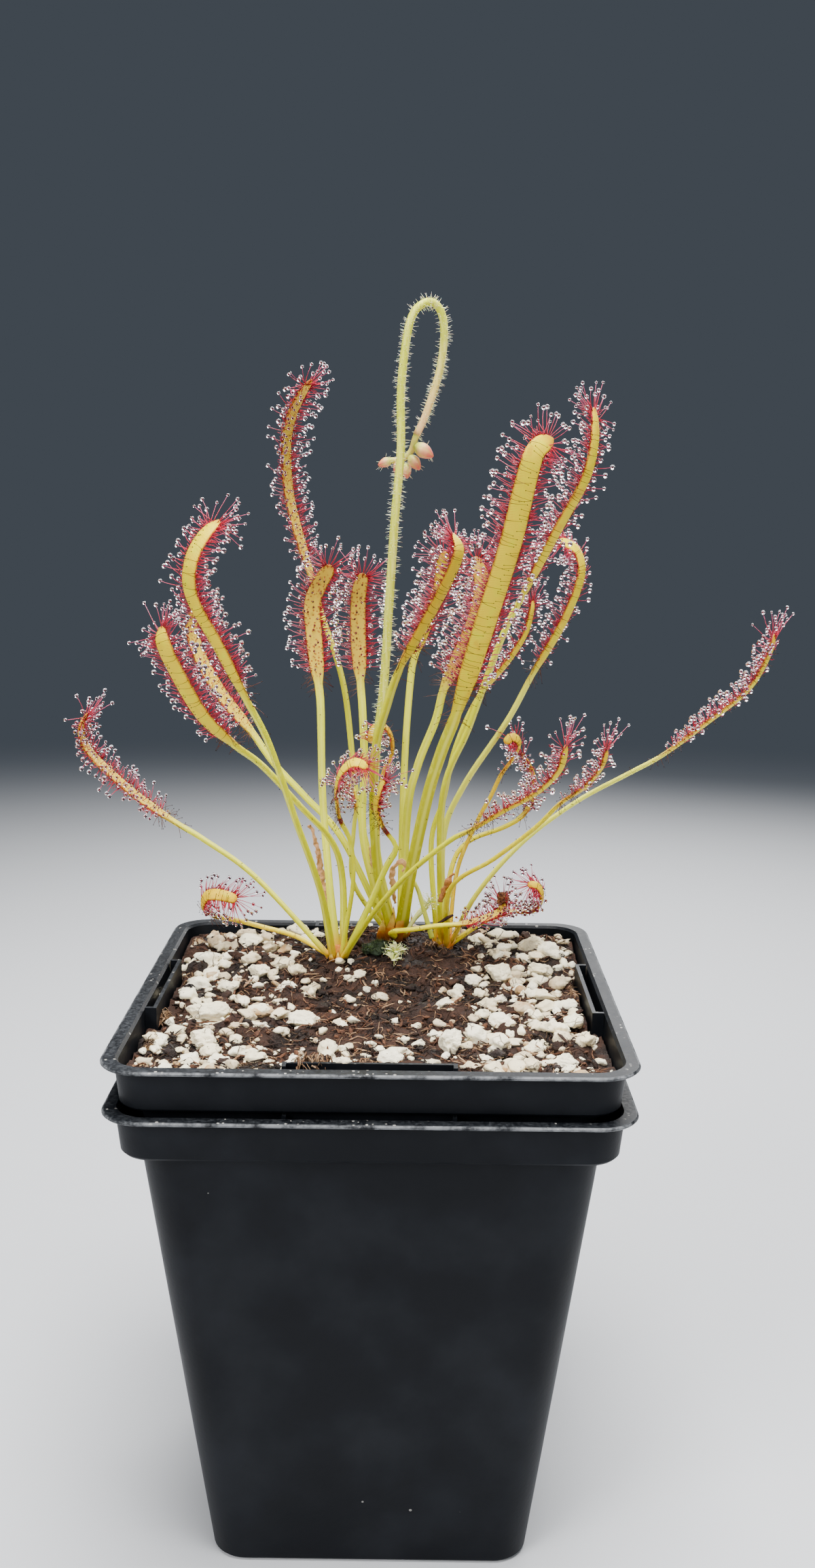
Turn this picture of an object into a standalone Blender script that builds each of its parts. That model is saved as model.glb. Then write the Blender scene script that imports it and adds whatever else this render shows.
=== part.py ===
# Potted sundew: strap leaves with glandular tentacles and one hooked flower stalk, growing in
# potting mix in the upper of two nested square nursery pots.
# Metres, +Z up, +Y away from the viewer. The origin is the centre of the outer pot's underside.
import math
import random

import bmesh
import bpy
import numpy as np
from mathutils import Matrix, Vector

MM = 0.001
GAP = 0.3 * MM            # clearance between pieces that touch

# The pot, as made. Half sizes are from the centre to a flat side.
POT_HEIGHT = 93.1 * MM
RIM_HALF = 45.0 * MM
RIM_THICK = 0.9 * MM
COLLAR_TOP_HALF = 42.9 * MM
COLLAR_FOOT_HALF = 42.3 * MM
COLLAR_HEIGHT = 8.2 * MM
BODY_TOP_HALF = 39.5 * MM
BODY_FOOT_HALF = 29.4 * MM
WALL = 0.7 * MM
CORNER_RIM = 7.2 * MM
CORNER_COLLAR = 6.0 * MM
CORNER_BODY = 6.4 * MM
CORNER_STEPS = 3
LUG_WIDTH = 29.0 * MM
DRAIN_RADIUS = 3.0 * MM
DRAIN_OFFSET = 19.0 * MM
NEST_RISE = 8.7 * MM      # how far the upper pot stands above the lower one

# The mix
MIX_FLOOR = NEST_RISE + WALL + GAP
MIX_LEVEL = 98.0 * MM
MIX_CELL = 3.2 * MM
MOUND_AT = (3.0 * MM, 27.0 * MM)
MOUND_RISE = 4.8 * MM
MOUND_SPREAD = (20.0 * MM, 13.0 * MM)
BARE_ABOVE = 2.2 * MM     # no lumps where the mound rises higher than this
FRONT_BANK = (-39.0 * MM, 5.0 * MM, 1.7 * MM)   # the mix is heaped at the wall: where, how broad, how high
BACK_BANK = (39.0 * MM, 6.0 * MM, 1.3 * MM)
LUMPS = 50
LUMP_RADIUS = (2.6 * MM, 4.2 * MM)
LUMP_RISE = (0.8 * MM, 1.9 * MM)
SURFACE_DIP = 0.4 * MM    # the crumbs between the lumps lie this much lower
RIPPLE = 0.35 * MM

# Crowns
CROWN_DEPTH = 9.0 * MM
CROWN_SIDES = 10
SEAT_OUT = 0.75           # mm from the dome to the middle of a stalk's foot
SEAT_STRAIGHT = 4.0       # mm from the dome over which a stalk leaves it straight

# Leaves
STALK_SIDES = 6
STALK_SHARE = 0.6         # a stalk's width as a share of its blade's
STALK_LEAST = 1.5 * MM
STALK_THICK = 1.5 * MM
BLADE_THICK = 0.9 * MM
TENTACLE_BASE = 0.32 * MM
TENTACLE_PITCH = 4.2 * MM
TENTACLE_SINK = 0.35 * MM
TENTACLE_CLEAR = 0.7 * MM  # least distance from a tentacle to any other leaf or its tentacles
MARGIN_REACH = (3.4 * MM, 4.8 * MM)
FACE_REACH = (2.0 * MM, 2.8 * MM)
TIP_REACH = (5.2 * MM, 6.8 * MM)
TIP_FAN = (-60, -20, 20, 60)  # degrees either side of the blade's end

# Flower stalk
FLOWER_STALK_FOOT = 1.9   # mm wide at the foot
FLOWER_STALK_TAPER = 0.5  # mm narrower at the end
STRAIGHT_SHARE = 0.56     # share of its length below the crook
STALK_HAIRS = 36
HAIR_REACH = 1.9 * MM
HAIR_BASE = 0.28 * MM
GOLDEN_TURN = 2.4         # radians between one hair and the next
RACHIS_WIDTH = 1.2 * MM


# Scene and materials

def clear_scene():
    for old in list(bpy.data.objects):
        bpy.data.objects.remove(old, do_unlink=True)


def new_collection(name):
    collection = bpy.data.collections.new(name)
    bpy.context.scene.collection.children.link(collection)
    return collection


def make_material(name, colour, roughness):
    material = bpy.data.materials.new(name)
    material.use_nodes = True
    shader = material.node_tree.nodes["Principled BSDF"]
    shader.inputs["Base Color"].default_value = (*colour, 1.0)
    shader.inputs["Roughness"].default_value = roughness
    shader.inputs["Metallic"].default_value = 0.0
    material.diffuse_color = (*colour, 1.0)
    return material


def new_object(name, mesh_data, collection):
    obj = bpy.data.objects.new(name, mesh_data)
    collection.objects.link(obj)
    return obj


def finish_piece(obj, material, sharp_angle):
    # One material, and smooth shading up to the sharp angle in degrees
    obj.data.materials.clear()
    obj.data.materials.append(material)
    obj.data.shade_smooth()
    obj.data.set_sharp_from_angle(angle=math.radians(sharp_angle))
    return obj


def remove_objects(collection):
    for obj in list(collection.objects):
        bpy.data.objects.remove(obj, do_unlink=True)


def mesh_from(bm, name):
    bmesh.ops.recalc_face_normals(bm, faces=bm.faces)
    mesh_data = bpy.data.meshes.new(name)
    bm.to_mesh(mesh_data)
    bm.free()
    return mesh_data


def bake_modifiers(obj):
    # Replace the object's mesh by what its modifiers make of it
    graph = bpy.context.evaluated_depsgraph_get()
    baked = bpy.data.meshes.new_from_object(obj.evaluated_get(graph))
    obj.modifiers.clear()
    obj.data = baked


def cut(obj, cutter, solver="EXACT", operation="DIFFERENCE"):
    cutter.hide_render = True
    cutter.display_type = "WIRE"
    modifier = obj.modifiers.new("cut", "BOOLEAN")
    modifier.operation = operation
    modifier.object = cutter
    modifier.solver = solver


def fuse_all(obj, repeats, solver="MANIFOLD"):
    # Join every object of the collection to obj in one union, then drop the collection's objects
    modifier = obj.modifiers.new("fuse", "BOOLEAN")
    modifier.operation = "UNION"
    modifier.operand_type = "COLLECTION"
    modifier.collection = repeats
    modifier.solver = solver
    bake_modifiers(obj)
    remove_objects(repeats)


# Curves and lofts

def smooth_route(points, spacing):
    # Points of a smooth curve through the given ones, about spacing apart
    pts = [Vector(p) for p in points]
    ends = [2 * pts[0] - pts[1]] + pts + [2 * pts[-1] - pts[-2]]
    route = []
    for a, b, c, d in zip(ends, ends[1:], ends[2:], ends[3:]):
        count = max(2, round((c - b).length / spacing))
        for step in range(count):
            t = step / count
            route.append(0.5 * (2 * b + (c - a) * t + (2 * a - 5 * b + 4 * c - d) * t * t
                                + (3 * b - a - 3 * c + d) * t ** 3))
    route.append(pts[-1])
    return route


def at_lengths(route, lengths):
    # The route's points at the given distances along it
    steps = [(b - a).length for a, b in zip(route, route[1:])]
    reach = np.concatenate(([0.0], np.cumsum(steps)))
    columns = [np.interp(lengths, reach, [p[axis] for p in route]) for axis in range(3)]
    return [Vector(p) for p in zip(*columns)]


def route_length(route):
    return sum((b - a).length for a, b in zip(route, route[1:]))


def directions(points):
    ends = [points[0]] + list(points) + [points[-1]]
    return [(b - a).normalized() for a, b in zip(ends, ends[2:])]


def carried_normals(tangents, start, face):
    # Carry the face direction along the curve without twist, both ways from the start index
    normals = [None] * len(tangents)
    first = Vector(face)
    normals[start] = (first - first.dot(tangents[start]) * tangents[start]).normalized()
    for index in range(start + 1, len(tangents)):
        turn = tangents[index - 1].rotation_difference(tangents[index])
        normals[index] = turn @ normals[index - 1]
    for index in range(start - 1, -1, -1):
        turn = tangents[index + 1].rotation_difference(tangents[index])
        normals[index] = turn @ normals[index + 1]
    return normals


def loft(rings, name):
    # Closed solid through rings that all have the same number of points
    bm = bmesh.new()
    loops = [[bm.verts.new(p) for p in ring] for ring in rings]
    sides = len(loops[0])
    for lower, upper in zip(loops, loops[1:]):
        for side in range(sides):
            after = (side + 1) % sides
            bm.faces.new((lower[side], lower[after], upper[after], upper[side]))
    bm.faces.new(loops[0][::-1])
    bm.faces.new(loops[-1])
    return mesh_from(bm, name)


def oval_ring(centre, across, normal, width, thick, sides):
    ring = []
    for side in range(sides):
        angle = 2 * math.pi * side / sides
        ring.append(centre + across * (0.5 * width * math.cos(angle))
                    + normal * (0.5 * thick * math.sin(angle) / math.sin(math.pi / 3)))
    return ring


def turn_to(way):
    # The turn that takes +Z to the given way
    return Vector((0, 0, 1)).rotation_difference(way).to_matrix().to_4x4()


def needle(root, tip, radius, name, collection):
    # A three-sided needle from root to tip
    bm = bmesh.new()
    axis = tip - root
    bmesh.ops.create_cone(bm, cap_ends=True, segments=3, radius1=radius, radius2=0.0,
                          depth=axis.length, matrix=Matrix.Translation(root + axis / 2) @ turn_to(axis))
    return new_object(name, mesh_from(bm, name), collection)


# The two pots

def square_ring(half, corner, level):
    ring = []
    for quarter in range(4):
        for step in range(CORNER_STEPS + 1):
            angle = math.pi / 2 * (quarter + step / CORNER_STEPS)
            middle = math.pi / 4 + math.pi / 2 * quarter
            centre = Vector((math.copysign(half - corner, math.cos(middle)),
                             math.copysign(half - corner, math.sin(middle)), level))
            ring.append(centre + Vector((math.cos(angle), math.sin(angle), 0)) * corner)
    return ring


def pot_shell():
    # Open sheet of the pot's outer side, from the floor to the rim's edge
    ledge = POT_HEIGHT - COLLAR_HEIGHT
    outline = [
        (BODY_FOOT_HALF, CORNER_BODY, 0.0),
        (BODY_TOP_HALF, CORNER_BODY, ledge),
        (COLLAR_FOOT_HALF, CORNER_COLLAR, ledge),
        (COLLAR_TOP_HALF, CORNER_COLLAR, POT_HEIGHT - RIM_THICK),
        (RIM_HALF, CORNER_RIM, POT_HEIGHT - RIM_THICK),
    ]
    bm = bmesh.new()
    loops = [[bm.verts.new(p) for p in square_ring(*row)] for row in outline]
    bm.faces.new(loops[0][::-1])
    for lower, upper in zip(loops, loops[1:]):
        for side in range(len(lower)):
            after = (side + 1) % len(lower)
            bm.faces.new((lower[side], lower[after], upper[after], upper[side]))
    mesh_data = bpy.data.meshes.new("pot_shell")
    bm.to_mesh(mesh_data)
    bm.free()
    return mesh_data


def lug(side, base, repeats):
    # A U-shaped stacking lug: it stands on the ledge and its pocket is open at the top
    ledge = base + POT_HEIGHT - COLLAR_HEIGHT
    back = COLLAR_FOOT_HALF - WALL / 2
    front = BODY_TOP_HALF + GAP
    half = LUG_WIDTH / 2
    outline = [(-half, back), (-half, front), (half, front), (half, back),
               (half - WALL, back), (half - WALL, front + WALL),
               (WALL - half, front + WALL), (WALL - half, back)]
    turn = Matrix.Rotation(math.pi / 2 * side, 4, "Z")
    bm = bmesh.new()
    face = bm.faces.new([bm.verts.new((x, y, ledge + WALL / 2)) for x, y in outline])
    raised = bmesh.ops.extrude_face_region(bm, geom=[face])
    tops = [v for v in raised["geom"] if isinstance(v, bmesh.types.BMVert)]
    bmesh.ops.translate(bm, verts=tops, vec=(0, 0, COLLAR_HEIGHT - WALL / 2))
    bmesh.ops.transform(bm, matrix=turn, verts=bm.verts)
    new_object(f"lug_{side}", mesh_from(bm, "lug"), repeats)


def make_pot(name, base, parts, cutters, material):
    pot = new_object(name, pot_shell(), parts)
    pot.data.transform(Matrix.Translation((0, 0, base)))
    thicken = pot.modifiers.new("wall", "SOLIDIFY")
    thicken.thickness = WALL
    thicken.offset = -1.0
    thicken.use_even_offset = True
    bake_modifiers(pot)
    for side in range(4):
        lug(side, base, cutters)
    fuse_all(pot, cutters, "EXACT")
    for corner in range(4):
        angle = math.pi / 4 + math.pi / 2 * corner
        bm = bmesh.new()
        spot = Vector((math.cos(angle), math.sin(angle), 0)) * DRAIN_OFFSET * math.sqrt(2)
        bmesh.ops.create_cone(bm, cap_ends=True, segments=8, radius1=DRAIN_RADIUS, radius2=DRAIN_RADIUS,
                              depth=6 * WALL, matrix=Matrix.Translation(spot + Vector((0, 0, base))))
        drain = new_object(f"{name}_drain_{corner}", mesh_from(bm, "drain"), cutters)
        cut(pot, drain)
    bake_modifiers(pot)
    remove_objects(cutters)
    finish_piece(pot, material, 35)


# The potting mix and the stones on it. A seat is a flat dent: x, y, radius and level in mm.

STONES = {
    # name: (x, y, length, width, height, turn in degrees), mm
    "perlite_1": (-30.5, -8.0, 10.0, 6.0, 5.0, 10),
    "perlite_2": (-13.5, -10.5, 6.8, 5.0, 3.6, -15),
    "perlite_3": (-30.0, -22.0, 5.4, 5.0, 4.2, 40),
    "perlite_4": (14.0, -23.0, 4.4, 5.2, 5.0, 70),
    "perlite_5": (24.5, 13.0, 4.6, 6.4, 4.6, 80),
    "perlite_6": (33.0, 17.0, 5.8, 5.0, 4.2, 20),
    "perlite_7": (32.0, 32.0, 6.6, 4.8, 3.8, 0),
    "perlite_8": (33.5, -14.0, 5.0, 4.4, 3.4, -30),
    "perlite_9": (33.0, -31.0, 5.0, 4.2, 3.2, 15),
    "perlite_10": (-24.0, 14.0, 5.2, 4.6, 3.4, 60),
}
STONE_SINK = 1.1          # mm below the mix around it

CROWNS = {
    # name: (x, y, z of the dome's centre, dome radius), mm
    "left": (-8.5, 19.5, 102.0, 3.8),
    "centre": (3.5, 29.0, 104.0, 4.4),
    "right": (13.5, 26.5, 103.2, 4.0),
}

MOSS = (-0.5, 21.0, 2.8, 101.9)
SEEDLING = (3.5, 17.5, 1.6, 101.2)


def mound(x, y):
    across = (x - MOUND_AT[0]) / MOUND_SPREAD[0]
    along = (y - MOUND_AT[1]) / MOUND_SPREAD[1]
    level = MIX_LEVEL + MOUND_RISE * math.exp(-0.5 * (across * across + along * along))
    for place, breadth, rise in (FRONT_BANK, BACK_BANK):
        level += rise * math.exp(-0.5 * ((y - place) / breadth) ** 2)
    return level


def seats():
    flats = []
    for x, y, length, width, height, turn in STONES.values():
        level = mound(x * MM, y * MM) - STONE_SINK * MM
        flats.append((x * MM, y * MM, 0.5 * max(length, width) * MM, level))
    for x, y, radius, level in (MOSS, SEEDLING):
        flats.append((x * MM, y * MM, radius * MM, level * MM))
    return flats


def lump_field():
    # Perlite and peat lumps of the surface: place, radius and height
    spread = random.Random(5)
    lumps = []
    while len(lumps) < LUMPS:
        x = spread.uniform(-39, 39) * MM
        y = spread.uniform(-39, 39) * MM
        rich = min(1.0, abs(x) / (26 * MM))
        bare = mound(x, y) > MIX_LEVEL + BARE_ABOVE
        if bare or spread.random() > 0.25 + 0.75 * rich:
            continue
        lumps.append((x, y, spread.uniform(*LUMP_RADIUS), spread.uniform(*LUMP_RISE)))
    return lumps


def mix_height(x, y, flats, lumps):
    ground = mound(x, y) - SURFACE_DIP
    level = ground
    for lx, ly, radius, height in lumps:
        reach = math.hypot(x - lx, y - ly) / radius
        if reach < 1:
            level = max(level, ground + height * (1 - reach ** 4))
    level += RIPPLE * math.sin(x * 1900 + 3 * math.sin(y * 700)) * math.sin(y * 2100)
    for fx, fy, radius, height in flats:
        if math.hypot(x - fx, y - fy) < 0.8 * radius + 1.2 * MIX_CELL:
            level = min(level, height - GAP)
    return level


def pot_inside(name, collection):
    # The hollow of the upper pot, less the gap all round
    ledge = NEST_RISE + POT_HEIGHT - COLLAR_HEIGHT + WALL + GAP
    slope = (BODY_TOP_HALF - BODY_FOOT_HALF) / (POT_HEIGHT - COLLAR_HEIGHT)
    inset = WALL + GAP + 0.05 * MM
    foot = BODY_FOOT_HALF - inset + slope * (MIX_FLOOR - NEST_RISE)
    rows = [
        (foot, CORNER_BODY - inset, MIX_FLOOR),
        (BODY_TOP_HALF - inset, CORNER_BODY - inset, ledge),
        (COLLAR_FOOT_HALF - inset, CORNER_COLLAR - inset, ledge),
        (COLLAR_TOP_HALF - inset, CORNER_COLLAR - inset, NEST_RISE + POT_HEIGHT + 12 * MM),
    ]
    return new_object(name, loft([square_ring(*row) for row in rows], name), collection)


def make_mix(parts, cutters, material):
    flats = seats()
    lumps = lump_field()
    cells = round(2 * COLLAR_TOP_HALF / MIX_CELL)
    bm = bmesh.new()
    bmesh.ops.create_grid(bm, x_segments=cells, y_segments=cells, size=COLLAR_TOP_HALF + MM)
    for vert in bm.verts:
        vert.co.z = mix_height(vert.co.x, vert.co.y, flats, lumps)
    raised = bmesh.ops.extrude_face_region(bm, geom=bm.faces[:])
    for item in raised["geom"]:
        if isinstance(item, bmesh.types.BMVert):
            item.co.z = MIX_FLOOR - 2 * MM
    mix = new_object("potting_mix", mesh_from(bm, "potting_mix"), parts)
    cut(mix, pot_inside("mix_trim", cutters), "MANIFOLD", "INTERSECT")
    pocket = LUG_WIDTH / 2 + GAP
    inner = BODY_TOP_HALF
    for side in range(4):
        bm = bmesh.new()
        depth = COLLAR_TOP_HALF + 3 * MM - inner
        place = (Matrix.Rotation(math.pi / 2 * side, 4, "Z")
                 @ Matrix.Translation((0, inner + depth / 2, NEST_RISE + POT_HEIGHT))
                 @ Matrix.Diagonal((2 * pocket, depth, 4 * COLLAR_HEIGHT, 1)))
        bmesh.ops.create_cube(bm, size=1.0, matrix=place)
        cut(mix, new_object(f"mix_notch_{side}", mesh_from(bm, "mix_notch"), cutters), "MANIFOLD")
    for name, (x, y, z, radius) in CROWNS.items():
        hole = crown_body(f"mix_hole_{name}", (x, y, z), radius, cutters, GAP)
        cut(mix, hole, "MANIFOLD")
    bake_modifiers(mix)
    remove_objects(cutters)
    finish_piece(mix, material, 50)


def make_stone(name, row, parts, material):
    x, y, length, width, height, turn = row
    shape = random.Random(name)
    level = mound(x * MM, y * MM) - STONE_SINK * MM
    bm = bmesh.new()
    bmesh.ops.create_icosphere(bm, subdivisions=2, radius=1.0)
    for vert in bm.verts:
        vert.co *= shape.uniform(0.86, 1.0)
        vert.co.z = max(vert.co.z, -0.8)
    low = min(v.co.z for v in bm.verts)
    size = Matrix.Diagonal((length / 2 * MM, width / 2 * MM, height / 2 * MM, 1))
    place = (Matrix.Translation((x * MM, y * MM, level - low * height / 2 * MM))
             @ Matrix.Rotation(math.radians(turn), 4, "Z") @ size)
    bmesh.ops.transform(bm, matrix=place, verts=bm.verts)
    finish_piece(new_object(name, mesh_from(bm, name), parts), material, 50)


# Crowns: a short stem whose foot is in the mix and whose dome carries the leaves

def crown_body(name, centre, radius, collection, grow=0.0):
    x, y, z = (c * MM for c in centre)
    r = radius * MM + grow
    depth = CROWN_DEPTH + grow
    profile = [(0.45 * r, -depth), (0.8 * r, -0.55 * depth), (r, -0.12 * depth),
               (r, 0.15 * r), (0.8 * r, 0.62 * r), (0.42 * r, 0.91 * r)]
    if grow:
        profile = profile[:3] + [(r, 12 * MM)]
    turns = [2 * math.pi * side / CROWN_SIDES for side in range(CROWN_SIDES)]
    rings = [[Vector((x + reach * math.cos(turn), y + reach * math.sin(turn), z + level))
              for turn in turns] for reach, level in profile]
    return new_object(name, loft(rings, name), collection)


def on_dome(crown, azimuth, rise, out):
    x, y, z, radius = CROWNS[crown]
    azimuth = math.radians(azimuth)
    rise = math.radians(rise)
    reach = radius + out
    return Vector((x + reach * math.cos(rise) * math.cos(azimuth),
                   y + reach * math.cos(rise) * math.sin(azimuth),
                   z + reach * math.sin(rise))) * MM


# Leaves. seat is the azimuth and rise on the crown's dome in degrees, stalk and blade are points
# in mm that the leaf's midrib runs through, and face is where the tentacled side looks.

LEAVES = {
    "leaf_01": dict(crown="left", seat=(188, 32), width=2.8, face=(0.5, -0.3, 0.8),
                    stalk=[(-24.5, 16, 118.5), (-34.5, 13, 127)],
                    blade=[(-40.5, 12, 131), (-48, 10, 137), (-55.5, 8, 145), (-57, 7, 149.5),
                           (-55.5, 6, 153)]),
    "leaf_02": dict(crown="left", seat=(150, 8), width=2.6, face=(0, 0, 1),
                    stalk=[(-17, 24, 104), (-25, 28, 105), (-31.5, 30, 106)],
                    blade=[(-35, 30, 106.5), (-37.5, 29.5, 108.5), (-36.5, 28, 111.5), (-33.5, 27, 112),
                           (-30, 27, 111)]),
    "leaf_03": dict(crown="left", seat=(25, 48), width=4.0, face=(0.5, 0.7, 0.4),
                    stalk=[(-7.5, 20, 117), (-9.5, 17, 126), (-15.5, 13, 134), (-22.5, 8, 143)],
                    blade=[(-27.5, 5, 147.5), (-33, 2, 153.5), (-37.5, -2, 163), (-39, -4, 167.5),
                           (-40, -2, 170)]),
    "leaf_04": dict(crown="centre", seat=(165, 30), width=3.4, face=(0.6, -0.6, 0.5),
                    stalk=[(-8, 30, 123.5), (-16, 31, 132.5), (-22.5, 31, 139.5)],
                    blade=[(-27, 31, 146), (-33, 31, 153.5), (-37.5, 32, 161), (-39.5, 33, 167.5),
                           (-38.5, 33, 171.5)]),
    "leaf_05": dict(crown="left", seat=(235, 50), width=3.4, face=(0.6, 0.7, 0.3),
                    stalk=[(-11.5, 12, 117), (-16, 6, 133), (-20.5, 1, 148.5)],
                    blade=[(-24.5, -2, 157.5), (-28.5, -5, 166.5), (-33, -8, 176), (-33, -9, 182),
                           (-31, -8, 186.5), (-28.5, -5, 189.5)]),
    "leaf_06": dict(crown="centre", seat=(122, 58), width=3.0, face=(0.7, -0.5, 0.3),
                    stalk=[(-4.5, 33, 128), (-8, 36, 154.5), (-13, 39, 170)],
                    blade=[(-15, 40, 177), (-19.5, 41, 192.5), (-20.5, 41, 203.5), (-19.5, 41, 210),
                           (-17, 39, 215), (-15, 37, 217.5)]),
    "leaf_07": dict(crown="left", seat=(100, 60), width=3.4, face=(0.2, -1, 0.1),
                    stalk=[(-10.5, 23, 117), (-12, 26, 134), (-12.5, 28, 151.5)],
                    blade=[(-13, 29, 156.5), (-14, 31, 165.5), (-14.5, 32, 172.5), (-13, 32, 176.5),
                           (-10.5, 30, 180.5)]),
    "leaf_08": dict(crown="centre", seat=(185, 62), width=3.2, face=(0.1, -1, 0.1),
                    stalk=[(-3.5, 28, 123.5), (-3.5, 29, 140), (-4, 30, 151)],
                    blade=[(-4.5, 31, 157), (-5, 32, 166), (-5, 32, 174), (-4, 30, 179)]),
    "leaf_09": dict(crown="centre", seat=(255, 33), width=3.2, face=(-0.7, 0.6, 0.3),
                    stalk=[(-0.5, 17, 121), (-1, 12, 143.5), (1.5, 9, 155)],
                    blade=[(4, 7, 162.5), (8, 5, 170), (12.5, 2, 179), (14.5, 1, 184.5), (13.5, 3, 187.5)]),
    "leaf_10": dict(crown="centre", seat=(55, 60), width=3.2, face=(-0.5, 0.8, 0.2),
                    stalk=[(4.5, 30, 127), (5, 31, 144.5), (6, 32, 158.5)],
                    blade=[(7, 32, 163), (9, 33, 169), (11.5, 33, 175.5), (12, 33, 180.5),
                           (12.5, 32, 183.5)]),
    "leaf_11": dict(crown="centre", seat=(90, 88), width=2.0, face=(-1, 0, 0.1),
                    stalk=[(-0.5, 28, 121.5), (0, 28, 136.5)],
                    blade=[(2, 27, 142), (2, 26, 146), (0.5, 25, 148.5), (-1.5, 24, 148),
                           (-2, 24, 145)]),
    "leaf_12": dict(crown="left", seat=(305, 60), width=2.8, face=(1, 0, 0.2),
                    stalk=[(-5, 13, 118.5), (-5.5, 11, 127.5)],
                    blade=[(-7.5, 9, 132.5), (-8, 7, 138.5), (-7, 5, 142.5), (-4.5, 4, 144.5),
                           (-2, 4, 143.5)]),
    "leaf_13": dict(crown="left", seat=(350, 26), width=2.4, face=(0.8, 0.3, 0.5),
                    stalk=[(-2, 16, 113), (1.5, 13, 122), (3.5, 11, 126.5)],
                    blade=[(1, 10, 130.5), (-0.5, 9, 134.5), (0, 9, 138), (1, 10, 140)]),
    "leaf_14": dict(crown="centre", seat=(205, 35), width=2.0, face=(-1, 0, 0),
                    stalk=[(-5.5, 23, 116), (-5.5, 22, 127)],
                    blade=[(-5, 21, 132), (-5.5, 21, 136), (-7, 22, 137)]),
    "leaf_15": dict(crown="left", seat=(312, 15), width=2.8, face=(-0.5, 0.4, 0.8),
                    stalk=[(-1.5, 12, 112), (5.5, 8, 121.5), (14, 5, 129.5)],
                    blade=[(17.5, 4, 131.5), (23.5, 3, 135.5), (30, 2, 139.5), (34, 1, 144),
                           (35, 0, 149)]),
    "leaf_16": dict(crown="centre", seat=(295, 32), width=4.2, face=(-0.2, 0.9, 0.35),
                    stalk=[(6.5, 15, 121), (9.5, 8, 137.5), (12, 4, 147)],
                    blade=[(14.5, 1, 154.5), (19, -5, 171), (23, -10, 185.5), (25.5, -13, 197.5),
                           (27, -13, 202), (30, -10, 204)]),
    "leaf_17": dict(crown="right", seat=(250, 60), width=3.2, face=(-0.75, 0.55, 0.3),
                    stalk=[(12.5, 18, 134.5), (17.5, 15, 150), (23.5, 11, 168.5)],
                    blade=[(27, 10, 176), (33, 7, 188.5), (37.5, 5, 197.5), (39, 5, 204.5),
                           (39, 7, 210.5)]),
    "leaf_18": dict(crown="right", seat=(90, 80), width=3.6, face=(-0.8, -0.4, 0.4),
                    stalk=[(13, 28.5, 124), (17, 30, 135), (26, 31, 149)],
                    blade=[(31, 32, 158.5), (37, 33, 169), (40.5, 33, 178.5), (39.5, 33, 184),
                           (35.5, 32, 186)]),
    "leaf_19": dict(crown="right", seat=(180, 60), width=2.6, face=(-0.5, -0.7, 0.4),
                    stalk=[(10.5, 26, 123.5), (13, 26, 133.5), (15, 26, 143.5)],
                    blade=[(19.5, 27, 154), (25.5, 28, 161.5), (29, 29, 167), (30, 29, 170.5),
                           (30.5, 29, 174)]),
    "leaf_20": dict(crown="centre", seat=(315, 60), width=3.2, face=(0, -1, 0.2),
                    stalk=[(5.5, 22, 130.5), (7.5, 21, 141), (11, 20, 150.5)],
                    blade=[(12.5, 19, 157), (15.5, 18, 163.5), (18.5, 17, 171), (19.5, 16, 178),
                           (18, 16, 183)]),
    "leaf_21": dict(crown="right", seat=(345, 40), width=3.0, face=(-0.55, 0.35, 0.75),
                    stalk=[(20, 23, 114), (29, 21, 125.5), (39.5, 19, 134.5), (49.5, 18, 140.5)],
                    blade=[(56, 17, 144.5), (64, 16, 151), (71.5, 14, 158), (75, 13, 165),
                           (75.5, 12, 169)]),
    "leaf_22": dict(crown="right", seat=(292, 33), width=2.6, face=(-0.5, 0.3, 0.8),
                    stalk=[(14.5, 18, 116.5), (23, 15, 123.5), (31, 13, 130.5)],
                    blade=[(35.5, 12, 135.5), (40, 11, 139), (43, 10, 143), (44, 10, 146.5)]),
    "leaf_23": dict(crown="right", seat=(45, 50), width=2.2, face=(-0.9, 0.2, 0.3),
                    stalk=[(16, 31, 116.5), (20, 32, 127), (23, 32, 133)],
                    blade=[(25, 32, 137.5), (27.5, 31, 141.5), (28.5, 30, 144.5), (27, 29, 146),
                           (25.5, 29, 144.5)]),
    "leaf_24": dict(crown="right", seat=(110, 38), width=2.2, face=(-0.6, -0.3, 0.7),
                    stalk=[(15, 34, 116.5), (18.5, 36, 122), (26, 37, 125)],
                    blade=[(30, 37, 127.5), (32.5, 37, 132), (32, 36, 137), (29.5, 35, 141.5)]),
    "leaf_25": dict(crown="centre", seat=(280, 4), width=2.2, face=(0, -0.2, 1),
                    stalk=[(2.5, 18.5, 107), (7, 17, 108), (12, 16.5, 109)],
                    blade=[(16, 17.5, 109), (20, 20, 109), (23, 22, 109.5), (25.5, 23.5, 110.5),
                           (25.5, 23.5, 112.5)]),
    "leaf_26": dict(crown="right", seat=(335, 8), width=2.2, face=(0, 0.1, 1),
                    stalk=[(21.5, 26.5, 107)],
                    blade=[(24, 28, 107.5), (27, 29, 108.5), (29.5, 29.5, 108.5), (32, 29.5, 108.5),
                           (33.5, 29, 110), (34, 28.5, 112), (33.5, 28, 114), (32, 27.5, 115),
                           (31, 27, 114.5)]),
}

BLADE_STATIONS = (0.0, 0.13, 0.3, 0.47, 0.62, 0.76, 0.88, 0.96, 1.0)
BLADE_WIDTHS = (0.5, 0.9, 1.0, 1.0, 1.0, 0.98, 0.92, 0.75, 0.42)
BLADE_LEAST = 1.5 * MM    # no blade is narrower than this before its very tip
TIP_SHARE = 0.45
STALK_STATIONS = (0.0, 0.18, 0.45, 0.74)
STALK_WIDTHS = (1.15, 1.05, 1.0, 1.0)


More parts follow.
